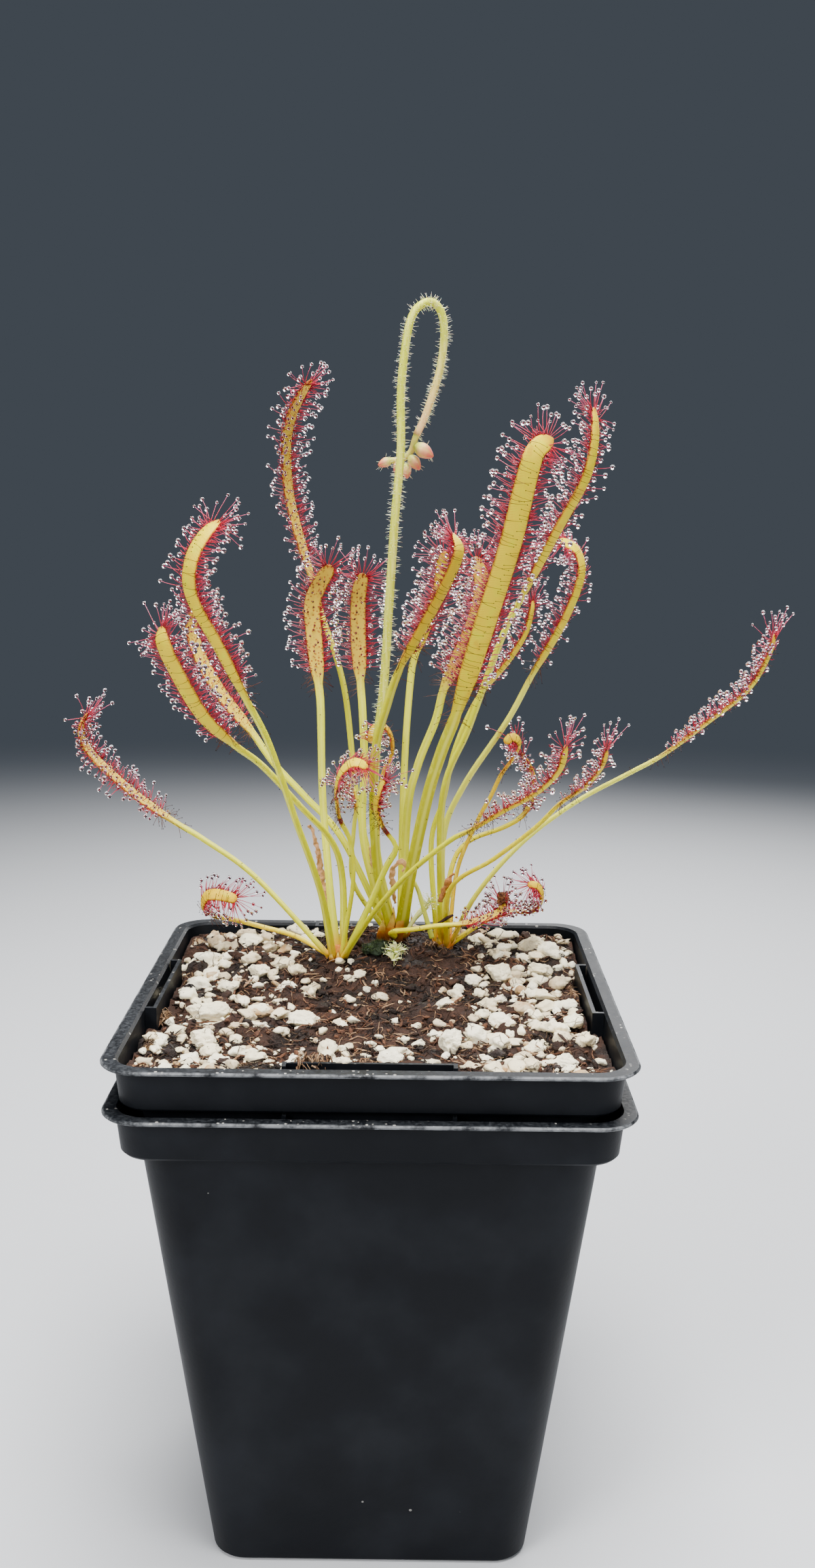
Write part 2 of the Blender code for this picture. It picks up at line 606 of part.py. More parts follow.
class Leaf:
    # A leaf's midrib with its frame and width at each station

    def __init__(self, name, row):
        self.name = name
        self.width = row["width"] * MM
        stalk_width = max(STALK_SHARE * self.width, STALK_LEAST)
        seat = on_dome(row["crown"], *row["seat"], SEAT_OUT)
        clear = on_dome(row["crown"], *row["seat"], SEAT_STRAIGHT)
        stalk = [seat, clear] + [Vector(p) * MM for p in row["stalk"]]
        blade = [Vector(p) * MM for p in row["blade"]]
        whole = smooth_route(stalk + blade, MM)
        joint = min(range(len(whole)), key=lambda i: (whole[i] - blade[0]).length)
        stem = whole[:joint + 1]
        strap = whole[joint:]
        stalk_points = at_lengths(stem, np.array(STALK_STATIONS) * route_length(stem))
        blade_points = at_lengths(strap, np.array(BLADE_STATIONS) * route_length(strap))
        self.blade_length = route_length(strap)
        self.points = stalk_points + blade_points
        self.tangents = directions(self.points)
        self.first_blade = len(stalk_points)
        self.normals = carried_normals(self.tangents, self.first_blade, row["face"])
        stalk_widths = [stalk_width * share for share in STALK_WIDTHS]
        blade_widths = [max(self.width * share, BLADE_LEAST if share > TIP_SHARE else 0)
                        for share in BLADE_WIDTHS]
        self.widths = stalk_widths + blade_widths
        self.thicks = [STALK_THICK] * len(stalk_points) + [BLADE_THICK] * len(blade_points)
        self.thicks[self.first_blade] = 0.5 * (STALK_THICK + BLADE_THICK)
        # closely spaced spheres along the midrib, x y z radius, that other leaves' tentacles avoid
        marks = np.arange(0, route_length(whole), MM)
        wide = marks > route_length(stem)
        radii = np.where(wide, 0.5 * self.width, 0.5 * stalk_width)
        self.samples = np.column_stack((np.array(at_lengths(whole, marks)), radii))

    def across(self, index):
        return self.normals[index].cross(self.tangents[index]).normalized()

    def mesh(self):
        rings = []
        for index, point in enumerate(self.points):
            rings.append(oval_ring(point, self.across(index), self.normals[index],
                                   self.widths[index], self.thicks[index], STALK_SIDES))
        return loft(rings, self.name)

    def at(self, share):
        # Point, tangent, normal, across and half width at a share of the blade's length
        blade = slice(self.first_blade, len(self.points))
        spots = BLADE_STATIONS

        def blend(rows):
            columns = [np.interp(share, spots, [row[axis] for row in rows]) for axis in range(3)]
            return Vector(columns)

        point = blend(self.points[blade])
        tangent = blend(self.tangents[blade]).normalized()
        normal = blend(self.normals[blade]).normalized()
        half = 0.5 * np.interp(share, spots, self.widths[blade])
        return point, tangent, normal, normal.cross(tangent).normalized(), half


def tentacle_spots(leaf):
    # Root and tip of each tentacle: both margins in turn, the middle of the face, a fan at the tip
    draw = random.Random(leaf.name)
    spots = []
    count = max(5, round(leaf.blade_length * 2 / TENTACLE_PITCH))
    for number in range(count):
        share = 0.08 + 0.86 * (number + 0.5) / count
        point, tangent, normal, across, half = leaf.at(share)
        side = 1 if number % 2 else -1
        reach = draw.uniform(*MARGIN_REACH) * (0.75 + 0.4 * share)
        way = (across * side * 0.9 + normal * draw.uniform(0.15, 0.5)
               + tangent * draw.uniform(-0.15, 0.35)).normalized()
        root = point + across * side * (half - TENTACLE_SINK - 0.15 * MM)
        spots.append((root, root + way * (reach + TENTACLE_SINK)))
        if number % 3 == 1:
            way = normal + across * draw.uniform(-0.3, 0.3) + tangent * draw.uniform(-0.2, 0.3)
            spots.append((point, point + way.normalized() * draw.uniform(*FACE_REACH)))
    point, tangent, normal, across, half = leaf.at(0.97)
    for turn in TIP_FAN:
        lean = math.radians(turn)
        way = tangent * math.cos(lean) + across * math.sin(lean) + normal * draw.uniform(0.1, 0.4)
        root = point + across * (0.5 * half * math.sin(lean))
        spots.append((root, root + way.normalized() * draw.uniform(*TIP_REACH)))
    return spots


def far_from(points, spheres):
    gaps = np.linalg.norm(points[:, None, :] - spheres[None, :, :3], axis=2) - spheres[None, :, 3]
    return gaps.min() > TENTACLE_CLEAR


def make_leaves(parts, repeats, material, stalk_samples):
    leaves = [Leaf(name, row) for name, row in LEAVES.items()]
    grown = []
    for leaf in leaves:
        others = [other.samples for other in leaves if other is not leaf]
        rivals = np.concatenate(others + [stalk_samples] + grown)
        body = new_object(leaf.name, leaf.mesh(), parts)
        own = []
        for root, tip in tentacle_spots(leaf):
            along = np.array([(*root.lerp(tip, share), 0.0) for share in np.linspace(0.15, 1, 8)])
            if not far_from(along[:, :3], rivals):
                continue
            needle(root, tip, TENTACLE_BASE, f"{leaf.name}_tentacle_{len(own)}", repeats)
            own.append(along)
        grown.extend(own)
        fuse_all(body, repeats)
        finish_piece(body, material, 60)


# The flower stalk and its buds

STALK_ROUTE = [(-1, 22, 125), (-1, 21, 142.5), (0.5, 20, 156.5), (1.5, 19, 173.5), (2.5, 18, 190),
               (3.5, 18, 202.5), (3.5, 18, 215), (5, 18, 226.5), (7.5, 18.5, 230), (10, 20, 230),
               (11.5, 21, 226.5), (11, 22, 219), (8.5, 22, 210.5), (6.5, 21.5, 206)]
STALK_SEAT = (245, 62)
RACHIS_ROUTE = [(6.15, 21.55, 205.25), (5.4, 22.4, 202.8), (3.6, 23.1, 201.4), (1.0, 22.6, 201.1)]
BUDS = {
    # centre and length in mm, and where the bud's tip points
    "bud_1": ((8.0, 21.5, 203.0), 4.2, (0.9, 0, -0.6)),
    "bud_2": ((6.2, 22.3, 200.8), 3.4, (0.6, 0.1, -0.8)),
    "bud_3": ((4.6, 23.0, 199.2), 3.0, (0.1, 0.3, -1)),
    "bud_4": ((3.0, 23.1, 200.2), 3.0, (-0.5, 0.2, -1)),
    "bud_5": ((0.4, 22.5, 200.7), 2.8, (-1, 0, -0.4)),
}


def stalk_centres():
    seat = on_dome("centre", *STALK_SEAT, SEAT_OUT)
    clear = on_dome("centre", *STALK_SEAT, SEAT_STRAIGHT)
    return smooth_route([seat, clear] + [Vector(p) * MM for p in STALK_ROUTE], MM)


def make_stalk(parts, repeats, material):
    route = stalk_centres()
    length = route_length(route)
    lower = np.linspace(0, STRAIGHT_SHARE, 8, endpoint=False)
    crook = np.linspace(STRAIGHT_SHARE, 1.0, 19)
    points = at_lengths(route, np.concatenate((lower, crook)) * length)
    tangents = directions(points)
    normals = carried_normals(tangents, 0, (0, -1, 0))
    rings = []
    for index, point in enumerate(points):
        width = (FLOWER_STALK_FOOT - FLOWER_STALK_TAPER * index / len(points)) * MM
        across = normals[index].cross(tangents[index]).normalized()
        rings.append(oval_ring(point, across, normals[index], width, width, STALK_SIDES))
    stalk = new_object("flower_stalk", loft(rings, "flower_stalk"), parts)
    for number in range(STALK_HAIRS):
        angle = GOLDEN_TURN * number
        share = 0.16 + 0.82 * number / STALK_HAIRS
        root = at_lengths(route, [share * length])[0]
        index = min(range(len(points)), key=lambda i: (points[i] - root).length)
        across = normals[index].cross(tangents[index]).normalized()
        way = normals[index] * math.cos(angle) + across * math.sin(angle)
        root += way * TENTACLE_SINK
        needle(root, root + way * HAIR_REACH, HAIR_BASE, f"stalk_hair_{number}", repeats)
    fuse_all(stalk, repeats)
    finish_piece(stalk, material, 60)


def make_buds(parts, repeats, material):
    # A short rachis that carries the buds, starting where the stalk ends
    route = smooth_route([Vector(p) * MM for p in RACHIS_ROUTE], MM)
    points = at_lengths(route, [route_length(route) * k / 5 for k in range(6)])
    tangents = directions(points)
    normals = carried_normals(tangents, 0, (0, -1, 0))
    rings = [oval_ring(point, normal.cross(tangent).normalized(), normal, RACHIS_WIDTH, RACHIS_WIDTH,
                       STALK_SIDES) for point, tangent, normal in zip(points, tangents, normals)]
    buds = new_object("flower_buds", loft(rings, "flower_buds"), parts)
    for name, (centre, length, way) in BUDS.items():
        bm = bmesh.new()
        bmesh.ops.create_uvsphere(bm, u_segments=8, v_segments=5, radius=0.5)
        for vert in bm.verts:
            if vert.co.z > 0:
                vert.co.x *= 1 - 0.9 * vert.co.z
                vert.co.y *= 1 - 0.9 * vert.co.z
        girth = 0.68 * length
        place = (Matrix.Translation(Vector(centre) * MM) @ turn_to(Vector(way))
                 @ Matrix.Diagonal((girth * MM, girth * MM, length * MM, 1)))
        bmesh.ops.transform(bm, matrix=place, verts=bm.verts)
        new_object(name, mesh_from(bm, name), repeats)
    fuse_all(buds, repeats)
    finish_piece(buds, material, 60)


# Small things at the plants' feet

def tufted(name, spot, radius, squash, spikes, reach, parts, repeats, material):
    # A low cushion or tiny rosette covered in short points, standing on its flat seat
    x, y, _, level = spot
    draw = random.Random(name)
    bm = bmesh.new()
    bmesh.ops.create_icosphere(bm, subdivisions=1, radius=1.0)
    for vert in bm.verts:
        vert.co *= draw.uniform(0.92, 1.0)
        vert.co.z = max(vert.co.z, -0.5)
    low = min(v.co.z for v in bm.verts)
    centre = Vector((x, y, level)) * MM + Vector((0, 0, -low * squash * radius * MM))
    size = Matrix.Diagonal((radius * MM, radius * MM, squash * radius * MM, 1))
    bmesh.ops.transform(bm, matrix=Matrix.Translation(centre) @ size, verts=bm.verts)
    body = new_object(name, mesh_from(bm, name), parts)
    for number in range(spikes):
        azimuth = GOLDEN_TURN * number
        rise = math.radians(12 + 70 * (number + 0.5) / spikes)
        level_reach = math.cos(rise)
        way = Vector((math.cos(azimuth) * level_reach, math.sin(azimuth) * level_reach, math.sin(rise)))
        skin = Vector((way.x * radius, way.y * radius, way.z * radius * squash)) * MM
        root = centre + skin * 0.7
        needle(root, root + skin * 0.3 + way * reach * MM, 0.3 * MM, f"{name}_point_{number}", repeats)
    fuse_all(body, repeats)
    finish_piece(body, material, 60)


def make_crown(name, row, parts, material):
    x, y, z, radius = row
    finish_piece(crown_body(f"crown_{name}", (x, y, z), radius, parts), material, 60)


def main():
    clear_scene()
    parts = new_collection("potted_sundew")
    cutters = new_collection("cutters")
    black = make_material("pot_black", (0.012, 0.014, 0.018), 0.42)
    peat = make_material("peat", (0.09, 0.045, 0.03), 0.95)
    perlite = make_material("perlite", (0.78, 0.74, 0.64), 0.9)
    leaf_green = make_material("leaf", (0.62, 0.60, 0.10), 0.45)
    stalk_green = make_material("flower_stalk", (0.60, 0.66, 0.25), 0.5)
    bud_pink = make_material("flower_buds", (0.80, 0.42, 0.32), 0.5)
    crown_brown = make_material("crown", (0.55, 0.27, 0.05), 0.7)
    moss_green = make_material("moss", (0.05, 0.09, 0.02), 0.9)
    seedling_green = make_material("seedling", (0.62, 0.66, 0.22), 0.6)

    make_pot("pot_outer", 0.0, parts, cutters, black)
    make_pot("pot_inner", NEST_RISE, parts, cutters, black)
    make_mix(parts, cutters, peat)
    for name, row in STONES.items():
        make_stone(name, row, parts, perlite)
    for name, row in CROWNS.items():
        make_crown(name, row, parts, crown_brown)
    make_stalk(parts, cutters, stalk_green)
    make_buds(parts, cutters, bud_pink)
    stalk_samples = np.array([(*point, MM) for point in stalk_centres()])
    make_leaves(parts, cutters, leaf_green, stalk_samples)
    tufted("moss", MOSS, MOSS[2], 0.55, 16, 0.9, parts, cutters, moss_green)
    tufted("seedling", SEEDLING, 1.2, 1.3, 14, 1.8, parts, cutters, seedling_green)


main()
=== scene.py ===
import math
import random

import bmesh
import bpy
import numpy as np
from mathutils import Euler, Matrix, Vector, noise


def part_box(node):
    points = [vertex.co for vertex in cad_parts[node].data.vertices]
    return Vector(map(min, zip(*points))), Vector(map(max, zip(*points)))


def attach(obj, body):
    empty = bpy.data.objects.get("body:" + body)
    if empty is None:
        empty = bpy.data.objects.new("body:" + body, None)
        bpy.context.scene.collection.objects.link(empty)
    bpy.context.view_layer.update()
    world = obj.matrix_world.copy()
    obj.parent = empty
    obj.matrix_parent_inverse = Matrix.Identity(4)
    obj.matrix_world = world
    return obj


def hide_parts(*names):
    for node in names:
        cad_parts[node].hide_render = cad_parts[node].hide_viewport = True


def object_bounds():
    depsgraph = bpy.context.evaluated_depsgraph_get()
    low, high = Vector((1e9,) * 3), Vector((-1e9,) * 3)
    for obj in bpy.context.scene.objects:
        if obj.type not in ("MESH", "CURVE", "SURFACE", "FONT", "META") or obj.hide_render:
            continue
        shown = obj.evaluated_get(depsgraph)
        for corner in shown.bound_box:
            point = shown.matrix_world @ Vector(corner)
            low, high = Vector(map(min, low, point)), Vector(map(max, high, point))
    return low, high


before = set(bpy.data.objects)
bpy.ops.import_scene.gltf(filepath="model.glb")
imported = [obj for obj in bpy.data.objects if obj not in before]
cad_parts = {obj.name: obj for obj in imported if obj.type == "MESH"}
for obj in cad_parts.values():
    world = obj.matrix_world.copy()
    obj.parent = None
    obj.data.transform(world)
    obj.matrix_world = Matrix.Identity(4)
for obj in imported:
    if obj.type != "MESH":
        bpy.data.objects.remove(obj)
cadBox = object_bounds()
mm = 0.001
golden = 2.39996                 # radians from one hair or scale to the next


# Meshes: many small shapes are gathered in a heap and become one piece

class Heap:
    # Marks are values per corner that the materials read

    def __init__(self):
        self.corners = []
        self.faces = []
        self.marks = {}
        self.count = 0

    def add(self, corners, faces, **marks):
        for name, value in marks.items():
            self.marks.setdefault(name, []).append(np.broadcast_to(value, len(corners)))
        self.faces.extend(face + self.count for face in faces)
        self.corners.append(corners)
        self.count += len(corners)

    def mesh(self, name):
        made = bpy.data.meshes.new(name)
        corners = np.concatenate(self.corners)
        loops = np.concatenate([face.ravel() for face in self.faces])
        sizes = np.concatenate([np.full(len(face), face.shape[1]) for face in self.faces])
        made.vertices.add(len(corners))
        made.vertices.foreach_set("co", corners.astype(np.float32).ravel())
        made.loops.add(len(loops))
        made.loops.foreach_set("vertex_index", loops.astype(np.int32))
        made.polygons.add(len(sizes))
        starts = np.concatenate(([0], np.cumsum(sizes)[:-1]))
        made.polygons.foreach_set("loop_start", starts.astype(np.int32))
        made.update(calc_edges=True)
        made.validate()
        for mark, values in self.marks.items():
            layer = made.attributes.new(mark, "FLOAT", "POINT")
            layer.data.foreach_set("value", np.concatenate(values).astype(np.float32))
        return made

    def build(self, name, material, slot=None, replaces=()):
        return settle(name, self.mesh(name), material, replaces)


def addObject(name, data):
    made = bpy.data.objects.new(name, data)
    bpy.context.scene.collection.objects.link(made)
    return made


def meshFrom(bm, name):
    made = bpy.data.meshes.new(name)
    bm.to_mesh(made)
    bm.free()
    return made


def settle(name, mesh, material, replaces=(), sharp=None):
    piece = addObject(name, mesh)
    mesh.materials.clear()
    mesh.materials.append(material)
    mesh.shade_smooth()
    if sharp is not None:
        mesh.set_sharp_from_angle(angle=math.radians(sharp))
    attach(piece, "root")
    if replaces:
        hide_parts(*replaces)
    return piece


def inMm(values):
    return np.array(values) * mm


def drawn(draw, count, low, high):
    return np.array([draw.uniform(low, high) for _ in range(count)])


def around(sides):
    return 2 * math.pi * np.arange(sides) / sides


def unit(rows):
    return rows / np.maximum(np.linalg.norm(rows, axis=-1, keepdims=True), 1e-12)


def sweep(rings):
    # Closed skin over rings that run anticlockwise seen from ahead, with a point at each end
    count, sides, _ = rings.shape
    corners = np.concatenate((rings.reshape(-1, 3), rings[:1].mean(1), rings[-1:].mean(1)))
    index = np.arange(count * sides).reshape(count, sides)
    after = np.roll(index, -1, axis=1)
    quads = np.stack((index[:-1], after[:-1], after[1:], index[1:]), axis=-1).reshape(-1, 4)
    first = np.full(sides, count * sides)
    lower = np.stack((first, after[0], index[0]), axis=-1)
    upper = np.stack((first + 1, index[-1], after[-1]), axis=-1)
    return corners, [quads, lower, upper]


def perRing(values, sides, ends=(0, 1)):
    # A value for each corner of a sweep's rings and for its two end points
    return np.concatenate((np.repeat(values, sides), ends))


def addTubes(heap, paths, radii, sides, **marks):
    # Many thin tubes at once: paths is tubes x points x 3, radii and marks are tubes x points
    count, points, _ = paths.shape
    ahead = unit(np.gradient(paths, axis=1))
    steep = np.abs(ahead[:, :1, 2:]) > 0.7
    across = unit(np.cross(np.where(steep, (1.0, 0.0, 0.0), (0.0, 0.0, 1.0)), ahead))
    upward = np.cross(ahead, across)
    turn = around(sides)
    ring = (np.cos(turn)[:, None] * across[:, :, None] + np.sin(turn)[:, None] * upward[:, :, None])
    radii = np.broadcast_to(radii, (count, points))
    corners = paths[:, :, None] + radii[:, :, None, None] * ring
    index = np.arange(count * points * sides).reshape(count, points, sides)
    after = np.roll(index, -1, axis=2)
    quads = np.stack((index[:, :-1], after[:, :-1], after[:, 1:], index[:, 1:]), axis=-1)
    spread = {name: np.repeat(np.broadcast_to(value, (count, points)).ravel(), sides)
              for name, value in marks.items()}
    heap.add(corners.reshape(-1, 3), [quads.reshape(-1, 4), index[:, 0, ::-1], index[:, -1]], **spread)


def ball(level):
    # Corners and faces of a round ball of radius one
    bm = bmesh.new()
    bmesh.ops.create_icosphere(bm, subdivisions=level, radius=1.0)
    corners = np.array([vert.co for vert in bm.verts])
    faces = np.array([[vert.index for vert in face.verts] for face in bm.faces])
    bm.free()
    return corners, faces


def addBalls(heap, shape, centres, sizes, **marks):
    # The same ball at many places; sizes is one radius for all, one for each place or three for each
    corners, faces = shape
    centres, sizes = np.asarray(centres), np.asarray(sizes)
    if sizes.ndim == 1:
        sizes = sizes[:, None]
    placed = centres[:, None] + corners[None] * np.broadcast_to(sizes, (len(centres), 3))[:, None]
    offsets = len(corners) * np.arange(len(centres))
    spread = {name: np.repeat(np.broadcast_to(value, len(centres)), len(corners))
              for name, value in marks.items()}
    heap.add(placed.reshape(-1, 3), [(faces[None] + offsets[:, None, None]).reshape(-1, 3)], **spread)


def rugged(shape, amount, scale, seed):
    # The same ball with an uneven skin
    corners, faces = shape
    offset = Vector((seed * 7.1, seed * 3.7, seed * 5.3))
    lift = np.array([1 + amount * noise.noise(Vector(corner) * scale + offset) for corner in corners])
    return corners * lift[:, None], faces


def chipped(shape, cuts, seed):
    # The same ball with flats broken off it
    corners, faces = shape
    draw = random.Random(seed)
    for _ in range(cuts):
        way = unit(np.array([draw.gauss(0, 1) for _ in range(3)]))
        beyond = corners @ way - draw.uniform(0.45, 0.8)
        corners = corners - np.outer(0.92 * np.maximum(beyond, 0), way)
    return corners, faces


def curveThrough(points, spacing):
    # A smooth curve through the points, in steps of about spacing
    points = np.asarray(points, float)
    ends = np.vstack((2 * points[0] - points[1], points, 2 * points[-1] - points[-2]))
    route = []
    for a, b, c, d in zip(ends, ends[1:], ends[2:], ends[3:]):
        count = max(2, round(np.linalg.norm(c - b) / spacing))
        for step in range(count):
            t = step / count
            route.append(0.5 * (2 * b + (c - a) * t + (2 * a - 5 * b + 4 * c - d) * t * t
                                + (3 * b - a - 3 * c + d) * t ** 3))
    route.append(points[-1])
    return np.array(route)


def pathReach(route):
    return np.concatenate(([0.0], np.cumsum(np.linalg.norm(np.diff(route, axis=0), axis=1))))


def pointsAt(route, lengths):
    reach = pathReach(route)
    return np.column_stack([np.interp(lengths, reach, route[:, axis]) for axis in range(3)])


def carryFace(ahead, start, face):
    # Carry a facing direction along a curve without twist, both ways from the start index
    ways = [Vector(way) for way in ahead]
    faces = [None] * len(ways)
    first = Vector(face)
    faces[start] = (first - first.dot(ways[start]) * ways[start]).normalized()
    for index in range(start + 1, len(ways)):
        faces[index] = ways[index - 1].rotation_difference(ways[index]) @ faces[index - 1]
    for index in range(start - 1, -1, -1):
        faces[index] = ways[index + 1].rotation_difference(ways[index]) @ faces[index + 1]
    return unit(np.array(faces))


def ease(low, high, value):
    share = np.clip((value - low) / (high - low), 0, 1)
    return share * share * (3 - 2 * share)


# Materials: each look is a Principled shader fed by procedural nodes

class Look:
    def __init__(self, name, settings):
        self.material = bpy.data.materials.new(name)
        self.material.use_nodes = True
        self.tree = self.material.node_tree
        self.shader = self.tree.nodes["Principled BSDF"]
        for socket, value in settings.items():
            self.shader.inputs[socket].default_value = value
        self.place = self.node("ShaderNodeTexCoord").outputs["Object"]

    def node(self, kind, inputs=None, **settings):
        made = self.tree.nodes.new(kind)
        for key, value in settings.items():
            setattr(made, key, value)
        for socket, value in (inputs or {}).items():
            if isinstance(value, bpy.types.NodeSocket):
                self.tree.links.new(value, made.inputs[socket])
            else:
                made.inputs[socket].default_value = value
        return made

    def mark(self, name):
        return self.node("ShaderNodeAttribute", attribute_name=name).outputs["Fac"]

    def grain(self, scale, detail=3.0, stretch=None, rough=0.55):
        place = self.place
        if stretch is not None:
            place = self.node("ShaderNodeMapping", {"Vector": place, "Scale": stretch}).outputs["Vector"]
        return self.node("ShaderNodeTexNoise", {"Vector": place, "Scale": scale, "Detail": detail,
                                                "Roughness": rough}).outputs["Fac"]

    def cells(self, scale):
        return self.node("ShaderNodeTexVoronoi", {"Vector": self.place, "Scale": scale})

    def ramp(self, factor, stops):
        made = self.node("ShaderNodeValToRGB", {"Fac": factor})
        elements = made.color_ramp.elements
        while len(elements) < len(stops):
            elements.new(0.5)
        for element, (position, colour) in zip(elements, stops):
            element.position = position
            element.color = (*colour, 1.0) if len(colour) == 3 else (colour[0],) * 3 + (1.0,)
        return made.outputs["Color"]

    def blend(self, factor, first, second):
        made = self.node("ShaderNodeMix", data_type="RGBA")
        for number, value in ((0, factor), (6, first), (7, second)):
            if isinstance(value, bpy.types.NodeSocket):
                self.tree.links.new(value, made.inputs[number])
            else:
                made.inputs[number].default_value = value if number == 0 else (*value, 1.0)
        return made.outputs[2]

    def sums(self, operation, first, second, clamp=False):
        return self.node("ShaderNodeMath", {0: first, 1: second}, operation=operation,
                         use_clamp=clamp).outputs[0]

    def plus(self, first, second):
        return self.sums("ADD", first, second)

    def times(self, first, second):
        return self.sums("MULTIPLY", first, second)

    def less(self, value):
        # 1 less the value, and never below 0
        return self.sums("SUBTRACT", 1.0, value, True)

    def between(self, value, low, high):
        # 0 below low, 1 above high
        return self.node("ShaderNodeMapRange", {"Value": value, "From Min": low, "From Max": high},
                         interpolation_type="SMOOTHSTEP").outputs["Result"]

    def give(self, socket, value):
        self.tree.links.new(value, self.shader.inputs[socket])

    def bump(self, height, strength, distance):
        made = self.node("ShaderNodeBump", {"Height": height, "Strength": strength,
                                            "Distance": distance})
        self.give("Normal", made.outputs["Normal"])


# Camera, lights and floor

viewPoint = dict(place=(6.36, -265.1, 191.1), down=0.186, aside=-0.003, roll=0.011, lens=33.05,
                 near=0.01, far=20)
studio = dict(
    floorRadius=3.0, floorDrop=0.0002, aim=(0, 0, 0.11), paleColour=(0.60, 0.61, 0.63),
    paleReach=0.22, farReach=1.0, skyColour=(0.058, 0.069, 0.085),
    lights={
        # name: (place in m, size in m, watts)
        "overhead": ((0.03, -0.10, 0.72), 0.40, 12.0),
        "keyLeft": ((-0.50, -0.55, 0.50), 0.40, 6.5),
        "fillRight": ((0.60, -0.45, 0.35), 0.50, 3.0),
        "rimBack": ((0.15, 0.60, 0.42), 0.50, 5.0),
    })


def makeCamera():
    aside, down, roll = viewPoint["aside"], viewPoint["down"], viewPoint["roll"]
    ahead = Vector((math.sin(aside) * math.cos(down), math.cos(aside) * math.cos(down),
                    -math.sin(down)))
    level = Vector((math.cos(aside), -math.sin(aside), 0))
    above = level.cross(ahead)
    right = math.cos(roll) * level + math.sin(roll) * above
    upward = -math.sin(roll) * level + math.cos(roll) * above
    camera = addObject("camera", bpy.data.cameras.new("camera"))
    turn = Matrix((right, upward, -ahead)).transposed().to_4x4()
    camera.matrix_world = Matrix.Translation(Vector(viewPoint["place"]) * mm) @ turn
    camera.data.lens = viewPoint["lens"]
    camera.data.clip_start = viewPoint["near"]
    camera.data.clip_end = viewPoint["far"]
    bpy.context.scene.camera = camera


def makeStudio():
    for name, (place, size, watts) in studio["lights"].items():
        lamp = bpy.data.lights.new(name, "AREA")
        lamp.shape = "DISK"
        lamp.size = size
        lamp.energy = watts
        holder = addObject(name, lamp)
        holder.location = place
        holder.rotation_euler = (Vector(studio["aim"]) - Vector(place)).to_track_quat("-Z", "Y").to_euler()
    world = bpy.data.worlds.new("studio")
    bpy.context.scene.world = world
    world.use_nodes = True
    sky = world.node_tree.nodes["Background"]
    sky.inputs["Color"].default_value = (*studio["skyColour"], 1.0)
    look = Look("floorPale", {"Roughness": 0.6, "Specular IOR Level": 0.0, "Emission Strength": 1.0})
    # The floor is painted pale near the middle and darker further out, a painted pool of light; out there it
    # glows in the sky's colour, a painted glow that hides its edge
    away = look.node("ShaderNodeVectorMath", {0: look.place}, operation="LENGTH").outputs["Value"]
    shade = look.between(away, studio["paleReach"], studio["farReach"])
    look.give("Base Color", look.blend(shade, studio["paleColour"], (0, 0, 0)))
    look.give("Emission Color", look.blend(shade, (0, 0, 0), studio["skyColour"]))
    bm = bmesh.new()
    bmesh.ops.create_circle(bm, cap_ends=True, segments=96, radius=studio["floorRadius"])
    floor = addObject("floor", meshFrom(bm, "floor"))
    floor.data.materials.append(look.material)
    floor.location.z = -studio["floorDrop"]


makeCamera()
makeStudio()
print("camera, lights and floor are in place")


# The two pots

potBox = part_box("pot_outer")
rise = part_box("pot_inner")[0].z
pot = dict(
    height=potBox[1].z, rim=potBox[1].x, rimThick=0.9 * mm, flangeDrop=0.2 * mm,
    collarTop=42.9 * mm, collarFoot=42.3 * mm, collarHeight=8.2 * mm, bodyTop=39.5 * mm,
    bodyFoot=29.4 * mm, wall=0.7 * mm, rimCorner=7.2 * mm, collarCorner=6.0 * mm,
    bodyCorner=6.4 * mm, cornerSteps=10, soften=0.25 * mm, lugWidth=29.0 * mm, gap=0.3 * mm,
    sharpFrom=32,
    drainRadius=3.0 * mm, drainOffset=19.0 * mm,
    black=(0.0035, 0.0042, 0.0058), worn=(0.010, 0.0115, 0.0145), dust=(0.085, 0.092, 0.10),
    # The grey of the rim's outer lip is part scuffing, part a painted highlight along the edge
    speck=(0.55, 0.53, 0.48), scuff=(0.30, 0.31, 0.32))


def squareRing(half, corner, level, steps):
    ring = []
    for quarter in range(4):
        middle = math.pi / 4 + math.pi / 2 * quarter
        centre = np.array((math.copysign(half - corner, math.cos(middle)),
                           math.copysign(half - corner, math.sin(middle)), level))
        for step in range(steps + 1):
            angle = math.pi / 2 * (quarter + step / steps)
            ring.append(centre + corner * np.array((math.cos(angle), math.sin(angle), 0)))
    return ring


